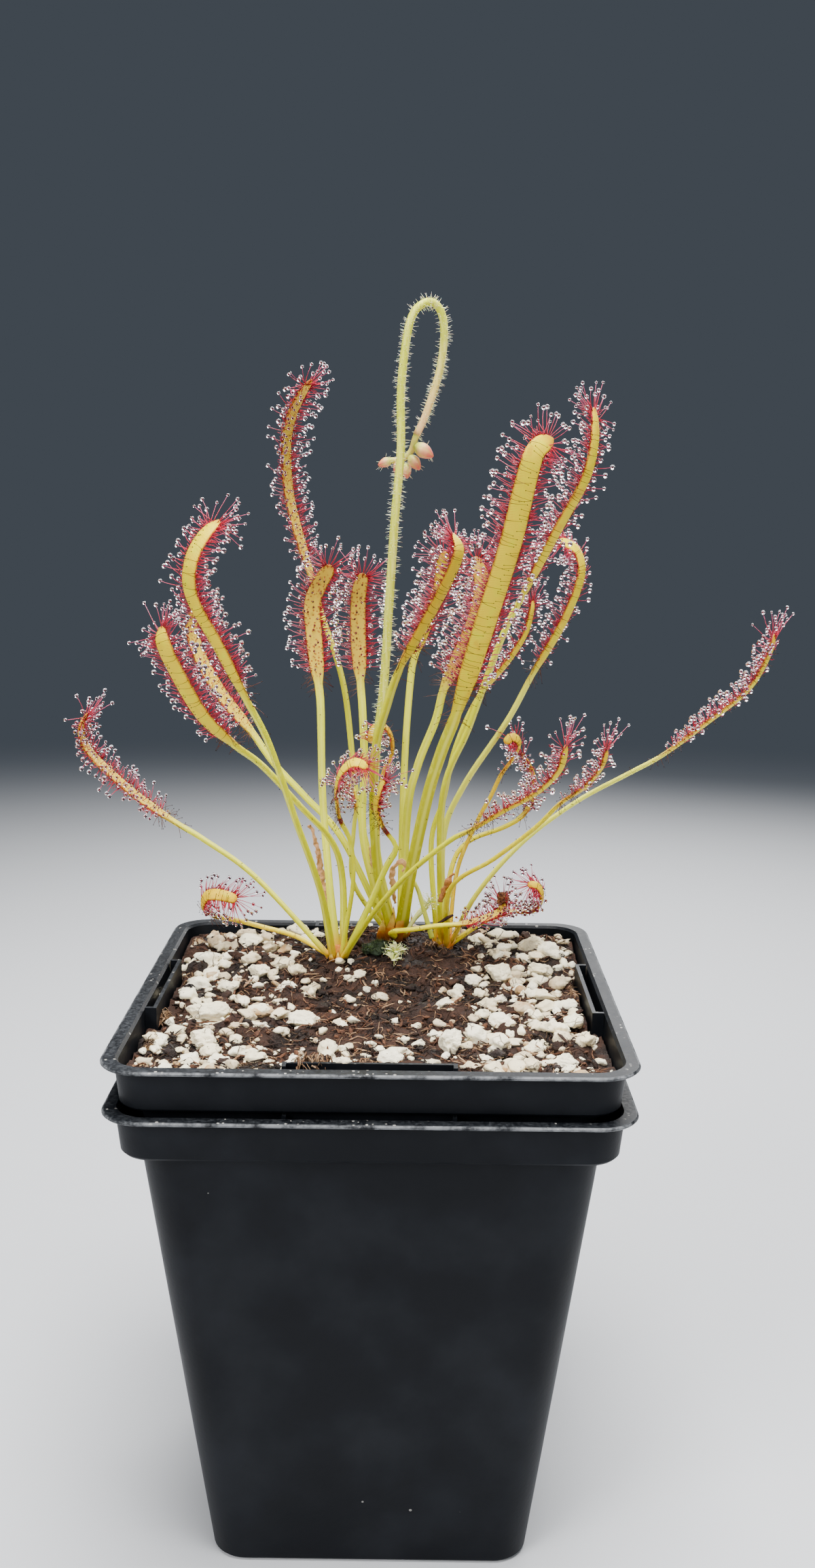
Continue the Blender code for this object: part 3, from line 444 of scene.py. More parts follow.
def potRows():
    # Half width, corner radius and level of each ring, up the outside and down the inside
    ledge = pot["height"] - pot["collarHeight"]
    under = pot["height"] - pot["rimThick"]
    top = pot["height"] - pot["flangeDrop"]
    soft, wall = pot["soften"], pot["wall"]
    return [
        (pot["bodyFoot"] - 2 * soft, pot["bodyCorner"] - 2 * soft, 0.0),
        (pot["bodyFoot"], pot["bodyCorner"], 2 * soft),
        (pot["bodyTop"], pot["bodyCorner"], ledge),
        (pot["collarFoot"] - 2 * soft, pot["collarCorner"] - 2 * soft, ledge),
        (pot["collarFoot"], pot["collarCorner"], ledge + 2 * soft),
        (pot["collarTop"], pot["collarCorner"], under - soft),
        (pot["collarTop"] + soft, pot["collarCorner"] + soft, under),
        (pot["rim"] - soft, pot["rimCorner"] - soft, under),
        (pot["rim"], pot["rimCorner"], under + soft),
        (pot["rim"], pot["rimCorner"], top - soft),
        (pot["rim"] - soft, pot["rimCorner"] - soft, top),
        (pot["collarTop"] - wall + 2 * soft, pot["collarCorner"] - wall + 2 * soft, top),
        (pot["collarTop"] - wall, pot["collarCorner"] - wall, top - 2 * soft),
        (pot["collarFoot"] - wall, pot["collarCorner"] - wall, ledge + wall),
        (pot["bodyTop"] - wall, pot["bodyCorner"] - wall, ledge + wall),
        (pot["bodyFoot"] - wall + soft, pot["bodyCorner"] - wall, wall + soft),
        (pot["bodyFoot"] - wall - soft, pot["bodyCorner"] - wall - soft, wall),
    ]


def lugShape(side):
    # A U-shaped stacking lug on one side, its pocket open at the top
    ledge = pot["height"] - pot["collarHeight"]
    back = pot["collarFoot"] - pot["wall"] / 2
    front = pot["bodyTop"] + pot["gap"]
    half, wall = pot["lugWidth"] / 2, pot["wall"]
    outline = [(-half, back), (-half, front), (half, front), (half, back), (half - wall, back),
               (half - wall, front + wall), (wall - half, front + wall), (wall - half, back)]
    bm = bmesh.new()
    face = bm.faces.new([bm.verts.new((x, y, ledge + wall / 2)) for x, y in outline])
    raised = bmesh.ops.extrude_face_region(bm, geom=[face])
    tops = [item for item in raised["geom"] if isinstance(item, bmesh.types.BMVert)]
    bmesh.ops.translate(bm, verts=tops, vec=(0, 0, pot["collarHeight"] - wall / 2))
    bmesh.ops.recalc_face_normals(bm, faces=bm.faces)
    bmesh.ops.transform(bm, matrix=Matrix.Rotation(math.pi / 2 * side, 4, "Z"), verts=bm.verts)
    return bm


def drainShape(corner):
    angle = math.pi / 4 + math.pi / 2 * corner
    spot = Vector((math.cos(angle), math.sin(angle), 0)) * pot["drainOffset"] * math.sqrt(2)
    bm = bmesh.new()
    bmesh.ops.create_cone(bm, cap_ends=True, segments=24, radius1=pot["drainRadius"],
                          radius2=pot["drainRadius"], depth=6 * pot["wall"],
                          matrix=Matrix.Translation(spot))
    return bm


def potMesh():
    # The lofted shell, joined to its lugs and cut by its drain holes
    heap = Heap()
    rings = np.array([squareRing(*row, pot["cornerSteps"]) for row in potRows()])
    heap.add(*sweep(rings))
    shell = addObject("potShell", heap.mesh("potShell"))
    tools = []
    for shape, operation in ((lugShape, "UNION"), (drainShape, "DIFFERENCE")):
        for number in range(4):
            tool = addObject("potTool", meshFrom(shape(number), "potTool"))
            change = shell.modifiers.new("shape", "BOOLEAN")
            change.operation = operation
            change.object = tool
            tools.append(tool)
    graph = bpy.context.evaluated_depsgraph_get()
    made = bpy.data.meshes.new_from_object(shell.evaluated_get(graph))
    for spent in tools + [shell]:
        bpy.data.objects.remove(spent, do_unlink=True)
    return made


def potPlastic():
    look = Look("potPlastic", {"Specular IOR Level": 0.09})
    normal = look.node("ShaderNodeNewGeometry").outputs["Normal"]
    facing = look.between(look.node("ShaderNodeSeparateXYZ", {0: normal}).outputs["Z"], 0.55, 0.95)
    level = look.node("ShaderNodeSeparateXYZ", {0: look.place}).outputs["Z"]
    high = look.sums("GREATER_THAN", level, pot["height"] - 2 * mm)
    cloudy = look.grain(60, 5.0)
    fine = look.grain(1500, 6.0, rough=0.75)
    dusty = look.times(facing, look.between(fine, 0.40, 0.72))
    folded = look.node("ShaderNodeVectorMath", {0: look.place}, operation="ABSOLUTE").outputs[0]
    inner = pot["rim"] - pot["rimCorner"]
    past = look.node("ShaderNodeVectorMath", {0: folded, 1: (inner, inner, 1)}, operation="SUBTRACT")
    past = look.node("ShaderNodeVectorMath", {0: past.outputs[0], 1: (0, 0, 0)}, operation="MAXIMUM")
    edge = look.node("ShaderNodeVectorMath", {0: past.outputs[0]}, operation="LENGTH").outputs["Value"]
    # The lip band round the rim's outer edge is painted lighter: part scuffs, part a painted highlight where
    # the edge catches the light
    lip = look.times(look.between(edge, pot["rimCorner"] - 0.5 * mm, pot["rimCorner"] - 0.1 * mm), high)
    rubbedAndHighlight = look.times(lip, look.between(look.grain(240, 6.0, rough=0.7), 0.36, 0.62))
    dirt = look.cells(900)
    size = look.node("ShaderNodeSeparateColor", {0: dirt.outputs["Color"]}).outputs["Red"]
    spots = look.sums("LESS_THAN", dirt.outputs["Distance"], look.times(size, 0.30))
    few = look.between(look.grain(170, 4.0), 0.48, 0.64)
    onTop = look.times(look.times(spots, few), facing)
    sideDirt = look.cells(260)
    rare = look.node("ShaderNodeSeparateColor", {0: sideDirt.outputs["Color"]}).outputs["Green"]
    fleck = look.sums("LESS_THAN", sideDirt.outputs["Distance"],
                      look.times(look.between(rare, 0.93, 1.0), 0.07))
    base = look.blend(look.between(cloudy, 0.35, 0.8), pot["black"], pot["worn"])
    base = look.blend(look.times(dusty, 0.5), base, pot["dust"])
    base = look.blend(look.times(rubbedAndHighlight, 0.6), base, pot["scuff"])
    base = look.blend(look.sums("MAXIMUM", onTop, look.times(fleck, 0.35)), base, pot["speck"])
    look.give("Base Color", base)
    sheen = look.ramp(look.plus(look.times(cloudy, 0.6), look.times(dusty, 0.5)),
                      [(0.2, (0.42,)), (0.8, (0.68,))])
    look.give("Roughness", sheen)
    look.bump(look.plus(look.grain(1200, 4.0), look.times(onTop, 2.0)), 0.15, 0.0002)
    return look.material


def makePots():
    plastic = potPlastic()
    shell = potMesh()
    for name, node, lift in (("potOuter", "pot_outer", 0.0), ("potInner", "pot_inner", rise)):
        settle(name, shell.copy(), plastic, [node], pot["sharpFrom"]).location.z = lift


makePots()
print("two nested pots are made")


# The potting mix: its level, lumps and seats are the solid's own, with finer crumbs on top

mix = dict(
    level=98.0 * mm, mound=(3.0 * mm, 27.0 * mm), moundRise=4.8 * mm, moundSpread=(20.0 * mm, 13.0 * mm),
    bareAbove=2.2 * mm, banks=((-39.0 * mm, 5.0 * mm, 1.7 * mm), (39.0 * mm, 6.0 * mm, 1.3 * mm)),
    lumps=50, lumpRadius=(2.6 * mm, 4.2 * mm), lumpRise=(0.8 * mm, 1.9 * mm), dip=0.4 * mm,
    lumpsWithin=39, richFrom=26 * mm, leastRich=0.25, rough=0.9 * mm, sharpFrom=60,
    edge=41.6 * mm, corner=5.2 * mm, notchHalf=14.8 * mm, notchFrom=39.3 * mm, cells=176,
    ledge=94.7 * mm, bodyShare=0.915, footShare=0.66, foot=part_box("potting_mix")[0].z,
    dark=(0.012, 0.0075, 0.006), brown=(0.058, 0.027, 0.017), rusty=(0.20, 0.083, 0.042),
    tan=(0.50, 0.31, 0.17), char=(0.004, 0.0035, 0.0035), bedTint=0.2)

stoneRows = {
    # node: x, y, length, width, height in mm, turn in degrees
    "perlite_1": (-30.5, -8.0, 10.0, 6.0, 5.0, 10),
    "perlite_2": (-13.5, -10.5, 6.8, 5.0, 3.6, -15),
    "perlite_3": (-30.0, -22.0, 5.4, 5.0, 4.2, 40),
    "perlite_4": (14.0, -23.0, 4.4, 5.2, 5.0, 70),
    "perlite_5": (24.5, 13.0, 4.6, 6.4, 4.6, 80),
    "perlite_6": (33.0, 17.0, 5.8, 5.0, 4.2, 20),
    "perlite_7": (32.0, 32.0, 6.6, 4.8, 3.8, 0),
    "perlite_8": (33.5, -14.0, 5.0, 4.4, 3.4, -30),
    "perlite_9": (33.0, -31.0, 5.0, 4.2, 3.2, 15),
    "perlite_10": (-24.0, 14.0, 5.2, 4.6, 3.4, 60),
}
stoneSink = 1.1
mossSpot = (-0.5, 21.0, 2.8, 101.9)      # x, y, radius and level in mm
seedlingSpot = (3.5, 17.5, 1.6, 101.2)


def moundLevel(x, y):
    across = (x - mix["mound"][0]) / mix["moundSpread"][0]
    along = (y - mix["mound"][1]) / mix["moundSpread"][1]
    level = mix["level"] + mix["moundRise"] * np.exp(-0.5 * (across * across + along * along))
    for place, breadth, height in mix["banks"]:
        level = level + height * np.exp(-0.5 * ((y - place) / breadth) ** 2)
    return level


def lumpField():
    spread = random.Random(5)
    lumps = []
    while len(lumps) < mix["lumps"]:
        x, y = (spread.uniform(-mix["lumpsWithin"], mix["lumpsWithin"]) * mm for _ in range(2))
        rich = min(1.0, abs(x) / mix["richFrom"])
        bare = moundLevel(x, y) > mix["level"] + mix["bareAbove"]
        if bare or spread.random() > mix["leastRich"] + (1 - mix["leastRich"]) * rich:
            continue
        lumps.append((x, y, spread.uniform(*mix["lumpRadius"]), spread.uniform(*mix["lumpRise"])))
    return lumps


def mixSeats():
    seats = []
    for x, y, length, width, _, _ in stoneRows.values():
        seats.append((x * mm, y * mm, 0.5 * max(length, width) * mm,
                      moundLevel(x * mm, y * mm) - stoneSink * mm))
    for x, y, radius, level in (mossSpot, seedlingSpot):
        seats.append((x * mm, y * mm, radius * mm, level * mm))
    return seats


lumps = lumpField()
seats = mixSeats()


def mixLevel(x, y):
    # Height of the mix at arrays of places, crumbs included
    x, y = np.asarray(x, float), np.asarray(y, float)
    ground = moundLevel(x, y) - mix["dip"]
    level = ground.copy()
    for lumpX, lumpY, radius, height in lumps:
        reach = np.hypot(x - lumpX, y - lumpY) / radius
        level = np.maximum(level, np.where(reach < 1, ground + height * (1 - reach ** 4), 0))
    rough = np.array([0.75 * noise.noise((a / mm * 0.5, b / mm * 0.5, 0.3))
                      - 0.6 * abs(noise.noise((a / mm * 1.1, b / mm * 1.1, 4.1)))
                      + 0.25 * noise.noise((a / mm * 2.3, b / mm * 2.3, 8.7)) for a, b in zip(x, y)])
    level += mix["rough"] * rough
    for seatX, seatY, radius, height in seats:
        reach = np.hypot(x - seatX, y - seatY)
        dent = ease(radius * 0.95, radius * 0.6, reach)
        level = level * (1 - dent) + np.minimum(level, height) * dent
    return level


def makeMix(material):
    # A fine sheet over the pot's inside, cut round the lugs, with a skirt down to the pot's floor
    bm = bmesh.new()
    bmesh.ops.create_grid(bm, x_segments=mix["cells"], y_segments=mix["cells"], size=mix["edge"])
    inner = mix["edge"] - mix["corner"]
    outside = []
    for face in bm.faces:
        middle = face.calc_center_median()
        near, far = sorted((abs(middle.x), abs(middle.y)))
        beyond = math.hypot(max(near - inner, 0), max(far - inner, 0)) > mix["corner"]
        if beyond or (near < mix["notchHalf"] and far > mix["notchFrom"]):
            outside.append(face)
    bmesh.ops.delete(bm, geom=outside, context="FACES")
    for vert in bm.verts:
        over = Vector((max(abs(vert.co.x) - inner, 0), max(abs(vert.co.y) - inner, 0)))
        if over.length > mix["corner"]:
            over *= mix["corner"] / over.length
            vert.co.x = math.copysign(inner + over.x, vert.co.x)
            vert.co.y = math.copysign(inner + over.y, vert.co.y)
    places = np.array([vert.co for vert in bm.verts])
    for vert, level in zip(bm.verts, mixLevel(places[:, 0], places[:, 1])):
        vert.co.z = level
    for share, level in ((1.0, mix["ledge"]), (mix["bodyShare"], mix["ledge"] - 0.3 * mm),
                         (mix["footShare"] / mix["bodyShare"], mix["foot"])):
        rim = [edge for edge in bm.edges if edge.is_boundary]
        grown = bmesh.ops.extrude_edge_only(bm, edges=rim)["geom"]
        for item in grown:
            if isinstance(item, bmesh.types.BMVert):
                item.co = (item.co.x * share, item.co.y * share, level)
    rim = [edge for edge in bm.edges if edge.is_boundary]
    bmesh.ops.holes_fill(bm, edges=rim)
    bmesh.ops.recalc_face_normals(bm, faces=bm.faces)
    mesh = meshFrom(bm, "mixBed")
    layer = mesh.attributes.new("tint", "FLOAT", "POINT")
    layer.data.foreach_set("value", np.full(len(mesh.vertices), mix["bedTint"], np.float32))
    settle("mixBed", mesh, material, ["potting_mix"], mix["sharpFrom"])


def peatLook():
    look = Look("dampPeat", {"Roughness": 0.9, "Specular IOR Level": 0.3})
    tint = look.mark("tint")
    patches = look.grain(130, 4.0)
    along = look.grain(620, 6.0, (1, 0.22, 1), 0.7)
    over = look.grain(620, 6.0, (0.22, 1, 1), 0.7)
    threads = look.sums("MAXIMUM", along, over)
    mixed = look.plus(look.times(threads, 0.75), look.times(tint, 0.7))
    base = look.ramp(mixed, [(0.36, mix["dark"]), (0.60, mix["brown"]), (0.82, mix["rusty"]),
                             (1.0, mix["tan"])])
    wet = look.between(patches, 0.47, 0.60)
    look.give("Base Color", look.blend(look.times(wet, 0.7), base, mix["char"]))
    look.give("Roughness", look.ramp(wet, [(0.0, (0.92,)), (1.0, (0.6,))]))
    look.bump(look.plus(threads, look.grain(1700, 5.0)), 1.0, 0.0008)
    return look.material


crumbs = dict(
    # count, mm kept clear of the wall, size in mm, length and height as shares of it, share sunk, tint
    grains=((1400, 0.8, (0.4, 1.2), (1, 2.4), (0.5, 0.9), 0.3, 0.6),
            (100, 1.2, (1.2, 2.6), (1, 1.7), (0.4, 0.7), 0.35, 0.35)),
    chips=500, chipClear=2.0, chipLength=(1.6, 4.5), chipWidth=(0.3, 0.8), chipHeight=(0.12, 0.3))


def insidePot(x, y, margin):
    # True for places in mm on the mix that are clear of the pot's wall and lugs
    near, far = sorted((abs(x), abs(y)))
    edge = mix["edge"] / mm - margin
    inner = (mix["edge"] - mix["corner"]) / mm
    rounded = math.hypot(max(near - inner, 0), max(far - inner, 0)) < mix["corner"] / mm - margin
    lug = near < mix["notchHalf"] / mm + margin and far > mix["notchFrom"] / mm - margin
    return far < edge and rounded and not lug


def turnedBlocks(heap, shapes, draw, places, sizes, sink, tints):
    # Rugged little blocks lying on the mix, each turned its own way
    levels = mixLevel([x * mm for x, y in places], [y * mm for x, y in places])
    for (x, y), level, size, tint in zip(places, levels, sizes, tints):
        corners, faces = shapes[draw.randrange(len(shapes))]
        turn = np.array(Euler((draw.uniform(-0.5, 0.5), draw.uniform(-0.5, 0.5),
                               draw.uniform(0, 6.3))).to_matrix())
        block = (corners * (np.array(size) * mm / 2)) @ turn.T
        lift = level - block[:, 2].min() - sink * size[2] * mm
        heap.add(block + np.array((x * mm, y * mm, lift)), [faces], tint=tint)


mixHalf = 41    # mm either side of the middle that loose grains are tried in


def anywhere(x, y):
    return 1


def scatter(draw, count, margin, chance):
    places = []
    while len(places) < count:
        x, y = (draw.uniform(-mixHalf, mixHalf) for _ in range(2))
        if insidePot(x, y, margin) and draw.random() < chance(x, y):
            places.append((x, y))
    return places


def makeCrumbs(material):
    draw = random.Random("crumbs")
    heap = Heap()
    small = [chipped(rugged(ball(1), 0.6, 0.9, seed), 3, seed) for seed in range(8)]
    large = [chipped(rugged(ball(2), 0.9, 1.5, seed), 4, seed) for seed in range(8)]
    for shapes, (count, clear, size, lengths, heights, sink, tint) in zip((small, large), crumbs["grains"]):
        places = scatter(draw, count, clear, anywhere)
        sizes = []
        for _ in places:
            width = draw.uniform(*size)
            sizes.append((width * draw.uniform(*lengths), width, width * draw.uniform(*heights)))
        turnedBlocks(heap, shapes, draw, places, sizes, sink, [tint * draw.random() for _ in places])
    places = scatter(draw, crumbs["chips"], crumbs["chipClear"], anywhere)
    sizes = [(draw.uniform(*crumbs["chipLength"]), draw.uniform(*crumbs["chipWidth"]),
              draw.uniform(*crumbs["chipHeight"])) for _ in places]
    turnedBlocks(heap, small, draw, places, sizes, -0.3, [draw.uniform(0, 0.9) ** 1.5 for _ in places])
    heap.build("peatCrumbs", material, "peat")


fibres = dict(
    count=2900, length=(1.6, 6.5), thick=(0.05, 0.19), within=40.8,
    tufts=[
        # x, y, half spread in x and y and greatest rise in mm, count
        (38.4, 5.0, 0.8, 6.0, 1.0, 34), (-9.4, -38.4, 3.0, 2.4, 3.6, 130), (-39.0, 33.0, 0.8, 1.6, 1.8, 40),
        (-39.2, -10.5, 0.6, 1.6, 1.8, 36), (-39.0, -25.5, 0.7, 1.6, 1.8, 40), (-37.5, 12.0, 1.2, 2.0, 1.2, 24),
        (-1.0, -33.5, 3.0, 1.4, 1.2, 30), (12.0, 24.5, 2.0, 1.2, 1.6, 22),
    ])


def makeFibres(material):
    # Curled peat fibres lying in the top layer, with tufts of straw and tan scraps
    draw = random.Random("fibres")
    spots = [(x, y, 0) for x, y in scatter(draw, fibres["count"], 2.4, anywhere)]
    for x, y, spreadX, spreadY, top, count in fibres["tufts"]:
        for _ in range(count):
            spots.append((x + draw.uniform(-1, 1) * spreadX, y + draw.uniform(-1, 1) * spreadY,
                          draw.uniform(0.1, 1) * top))
    steps = np.linspace(-0.5, 0.5, 5)
    flat = []
    for x, y, straw in spots:
        length = draw.uniform(*fibres["length"]) * (0.5 if straw else draw.uniform(0.5, 1))
        heading = draw.uniform(0, math.pi)
        curl = draw.gauss(0, 2.4 if straw else 1.5)
        turn = heading + curl * steps
        flat.append(np.column_stack((x + length * steps * np.cos(turn), y + length * steps * np.sin(turn))))
    flat = np.clip(np.array(flat), -fibres["within"], fibres["within"])
    levels = mixLevel(flat[:, :, 0].ravel() * mm, flat[:, :, 1].ravel() * mm).reshape(len(flat), -1)
    smooth = 0.6 * levels + 0.4 * levels.mean(axis=1, keepdims=True)
    tilt = np.array([draw.gauss(0, 0.5) for _ in spots])[:, None] * steps
    lifts = np.array([straw or draw.uniform(0.0, 0.8) for x, y, straw in spots])[:, None]
    lifts = lifts * (1 - 3.4 * steps ** 2)
    paths = np.dstack((flat * mm, smooth + (lifts + tilt) * mm))
    thick = drawn(draw, len(spots), *fibres["thick"])[:, None] * mm
    tints = np.array([draw.uniform(0.65, 1.0) if straw else draw.random() ** 1.3
                      for x, y, straw in spots])[:, None]
    heap = Heap()
    addTubes(heap, paths, thick * (1 - 2.2 * steps ** 2), 3, tint=tints)
    heap.build("peatFibres", material, "peat")


def perliteLook():
    look = Look("perliteGrain", {"Roughness": 0.92, "Specular IOR Level": 0.25})
    tint = look.mark("tint")
    clouds = look.grain(330, 6.0, rough=0.65)
    mixed = look.plus(look.times(clouds, 0.45), look.times(tint, 0.7))
    base = look.ramp(mixed, [(0.2, (0.44, 0.26, 0.11)), (0.3, (0.62, 0.50, 0.33)),
                             (0.5, (0.86, 0.74, 0.49)), (0.85, (0.98, 0.91, 0.69))])
    # Pits and crack lines are sunk by the bump and painted darker: painted shade in these hollows
    pitShade = look.between(look.cells(1100).outputs["Distance"], 0.03, 0.17)
    crack = look.node("ShaderNodeTexVoronoi", {"Vector": look.place, "Scale": 300.0},
                      feature="DISTANCE_TO_EDGE").outputs["Distance"]
    crackShade = look.sums("MAXIMUM", look.between(crack, 0.0, 0.035), look.between(look.grain(190, 3.0), 0.40, 0.5))
    soiled = look.between(look.grain(240, 6.0, rough=0.7), 0.56, 0.74)
    base = look.blend(look.times(soiled, 0.45), base, (0.27, 0.19, 0.12))
    base = look.blend(crackShade, (0.20, 0.16, 0.11), base)
    look.give("Base Color", look.blend(pitShade, (0.26, 0.21, 0.15), base))
    height = look.plus(look.times(pitShade, 0.7), look.times(crackShade, 0.6))
    look.bump(look.plus(height, look.grain(1300, 6.0)), 0.8, 0.0004)
    return look.material


pebbleRows = [
    # x, y, length, width, height in mm, turn in degrees
    (-35.5, 21.0, 5.4, 4.0, 3.0, 10), (-30.0, 22.5, 6.0, 3.6, 3.0, 0), (-36.0, -19.0, 4.2, 3.0, 2.6, 30),
    (-20.2, -30.1, 3.6, 3.2, 2.6, 15), (18.5, -18.6, 4.2, 4.0, 3.6, 60), (35.8, 25.0, 4.6, 4.2, 3.4, 20),
    (26.0, 36.5, 6.4, 4.0, 3.0, -10), (37.6, -6.0, 2.8, 2.6, 2.2, 0), (37.5, -24.0, 3.6, 3.0, 2.6, 35),
    (3.2, -29.4, 3.8, 3.2, 2.4, 0), (-7.8, -27.8, 3.0, 2.8, 2.4, 40), (-19.0, 18.0, 3.6, 3.2, 2.6, 0),
    (-17.7, 7.1, 4.6, 3.0, 2.6, 20), (-22.0, -5.0, 5.0, 3.6, 3.2, 10), (-21.5, -13.5, 3.8, 2.4, 1.9, 0),
    (20.5, 30.7, 3.6, 3.4, 2.8, 0), (-35.8, 9.0, 5.0, 3.4, 2.8, 10), (-29.0, 4.0, 4.2, 3.4, 2.8, 25),
    (28.0, -4.3, 5.4, 3.4, 2.8, -10), (32.5, -2.0, 4.2, 3.2, 2.4, 20), (29.0, -22.5, 4.6, 3.4, 2.6, 0),
    (33.8, -21.0, 3.4, 3.0, 2.4, 50), (26.5, -26.5, 3.6, 2.8, 2.2, 15), (-39.0, -24.0, 2.6, 2.2, 1.8, 0),
    (-13.1, 2.2, 3.0, 2.6, 2.2, 0), (-8.1, 13.4, 1.5, 1.3, 1.2, 0), (-6.2, 14.2, 1.2, 1.2, 1.0, 0),
    (21.7, -0.4, 5.0, 3.2, 2.6, -15), (28.1, 8.0, 2.8, 2.4, 2.0, 0), (30.5, 24.5, 3.2, 2.6, 2.2, 0),
    (-30.1, 29.5, 4.0, 3.0, 2.6, 10), (-23.5, 27.5, 4.0, 3.2, 2.6, 30), (-19.5, 25.8, 3.4, 2.6, 2.2, 0),
    (-15.1, 29.5, 3.6, 2.6, 2.2, 0), (-29.0, 37.0, 4.8, 3.4, 2.6, 0), (-17.5, 36.5, 5.0, 3.6, 2.8, 10),
    (-35.5, 33.5, 3.6, 3.2, 2.6, 0), (23.0, -11.7, 3.4, 3.0, 2.4, 0), (13.1, -3.8, 3.6, 2.8, 2.2, 20),
    (7.7, -11.5, 1.9, 1.6, 1.4, 0), (5.6, -19.3, 1.7, 1.5, 1.4, 0), (1.4, -24.6, 1.9, 1.6, 1.3, 0),
    (-4.5, -32.4, 3.2, 2.2, 1.8, 0), (38.8, 28.5, 2.6, 2.2, 2.0, 0), (-4.9, 9.5, 1.7, 1.6, 1.4, 0),
    (-2.0, 5.5, 1.5, 1.4, 1.2, 0), (-26.5, -31.5, 3.4, 2.8, 2.2, 30), (24.0, 24.5, 3.0, 2.6, 2.2, 0),
    (36.0, 8.5, 3.8, 3.2, 2.6, 40), (19.0, 10.0, 2.8, 2.2, 1.9, 0), (-24.8, -20.5, 2.6, 2.2, 1.8, 0),
    (-13.2, 2.9, 4.4, 2.8, 2.8, 80), (18.5, -16.6, 4.0, 3.0, 3.2, 60),
    (11.1, -15.9, 2.8, 2.2, 2.0, 0), (4.4, -26.6, 4.6, 3.0, 2.6, 5), (-7.9, -24.9, 3.0, 2.6, 2.6, 0),
    (-21.6, -5.3, 5.2, 3.6, 3.0, 10), (-0.5, -21.3, 2.2, 1.8, 1.6, 0),
    (8.0, -21.0, 2.6, 2.0, 1.8, 0), (-19.3, 17.0, 4.2, 3.4, 3.0, 20), (13.9, -0.4, 2.2, 1.8, 1.6, 0),
    (-5.9, -11.2, 1.8, 1.6, 1.4, 0), (23.8, 2.0, 3.0, 2.6, 2.2, 0),
    (10.0, -33.5, 3.6, 2.6, 2.0, 10), (-12.5, -34.0, 4.2, 3.0, 2.4, -20), (17.0, -33.8, 3.0, 2.4, 2.0, 0),
]
grit = dict(count=860, size=(0.6, 2.3), pebbles=85, pebbleSize=(1.7, 3.5), bareHalf=8.0, richHalf=23.0,
            within=39)
lodged = [
    # x, y, z, length, width and height in mm and turn in degrees: bits caught in the lugs'
    # pockets and by the left crown
    (-41.2, 0.6, 98.6, 1.3, 3.4, 2.6, 0), (-41.2, -5.5, 97.4, 0.9, 1.2, 1.0, 0),
    (-41.2, 6.0, 97.9, 1.1, 1.8, 1.4, 0), (-4.5, -41.2, 99.4, 1.6, 0.9, 1.0, 0),
    (1.5, -41.3, 99.6, 1.1, 0.8, 0.9, 0), (5.8, -41.2, 99.2, 2.0, 1.0, 1.2, 0),
    (9.5, -41.2, 99.5, 0.9, 0.7, 0.8, 0), (-8.5, -41.3, 99.2, 1.2, 0.9, 1.0, 0),
    (-7.9, 16.2, 101.3, 1.9, 1.4, 1.2, 15), (-5.6, 16.0, 101.3, 1.3, 1.2, 1.2, 0),
    (-3.6, 11.0, 100.3, 2.1, 1.8, 1.5, 30), (-5.8, 9.5, 99.9, 1.9, 1.6, 1.4, 0),
    (-0.4, 7.8, 99.6, 1.5, 1.4, 1.2, 0), (-4.4, -39.4, 101.6, 2.6, 2.0, 1.8, 10),
    (-13.3, -39.2, 101.4, 2.2, 1.8, 1.6, 0), (-5.8, -37.8, 100.9, 2.2, 2.0, 2.0, 40),
]


def gritChance(x, y):
    # Rich at the left, the right and the back, sparse in the middle
    aside = ease(grit["bareHalf"], grit["richHalf"], abs(x + 1))
    behind = ease(24, 33, y)
    open01 = ease(10, 17, math.hypot(0.8 * (x - 4), y - 20))
    return max(0.26, aside, 0.8 * behind) * open01


def turned(corners, size, turn):
    # A stone's corners brought to its size in mm and turned about Z by degrees
    return (corners * (np.array(size) * mm / 2)) @ np.array(Matrix.Rotation(math.radians(turn), 3, "Z")).T


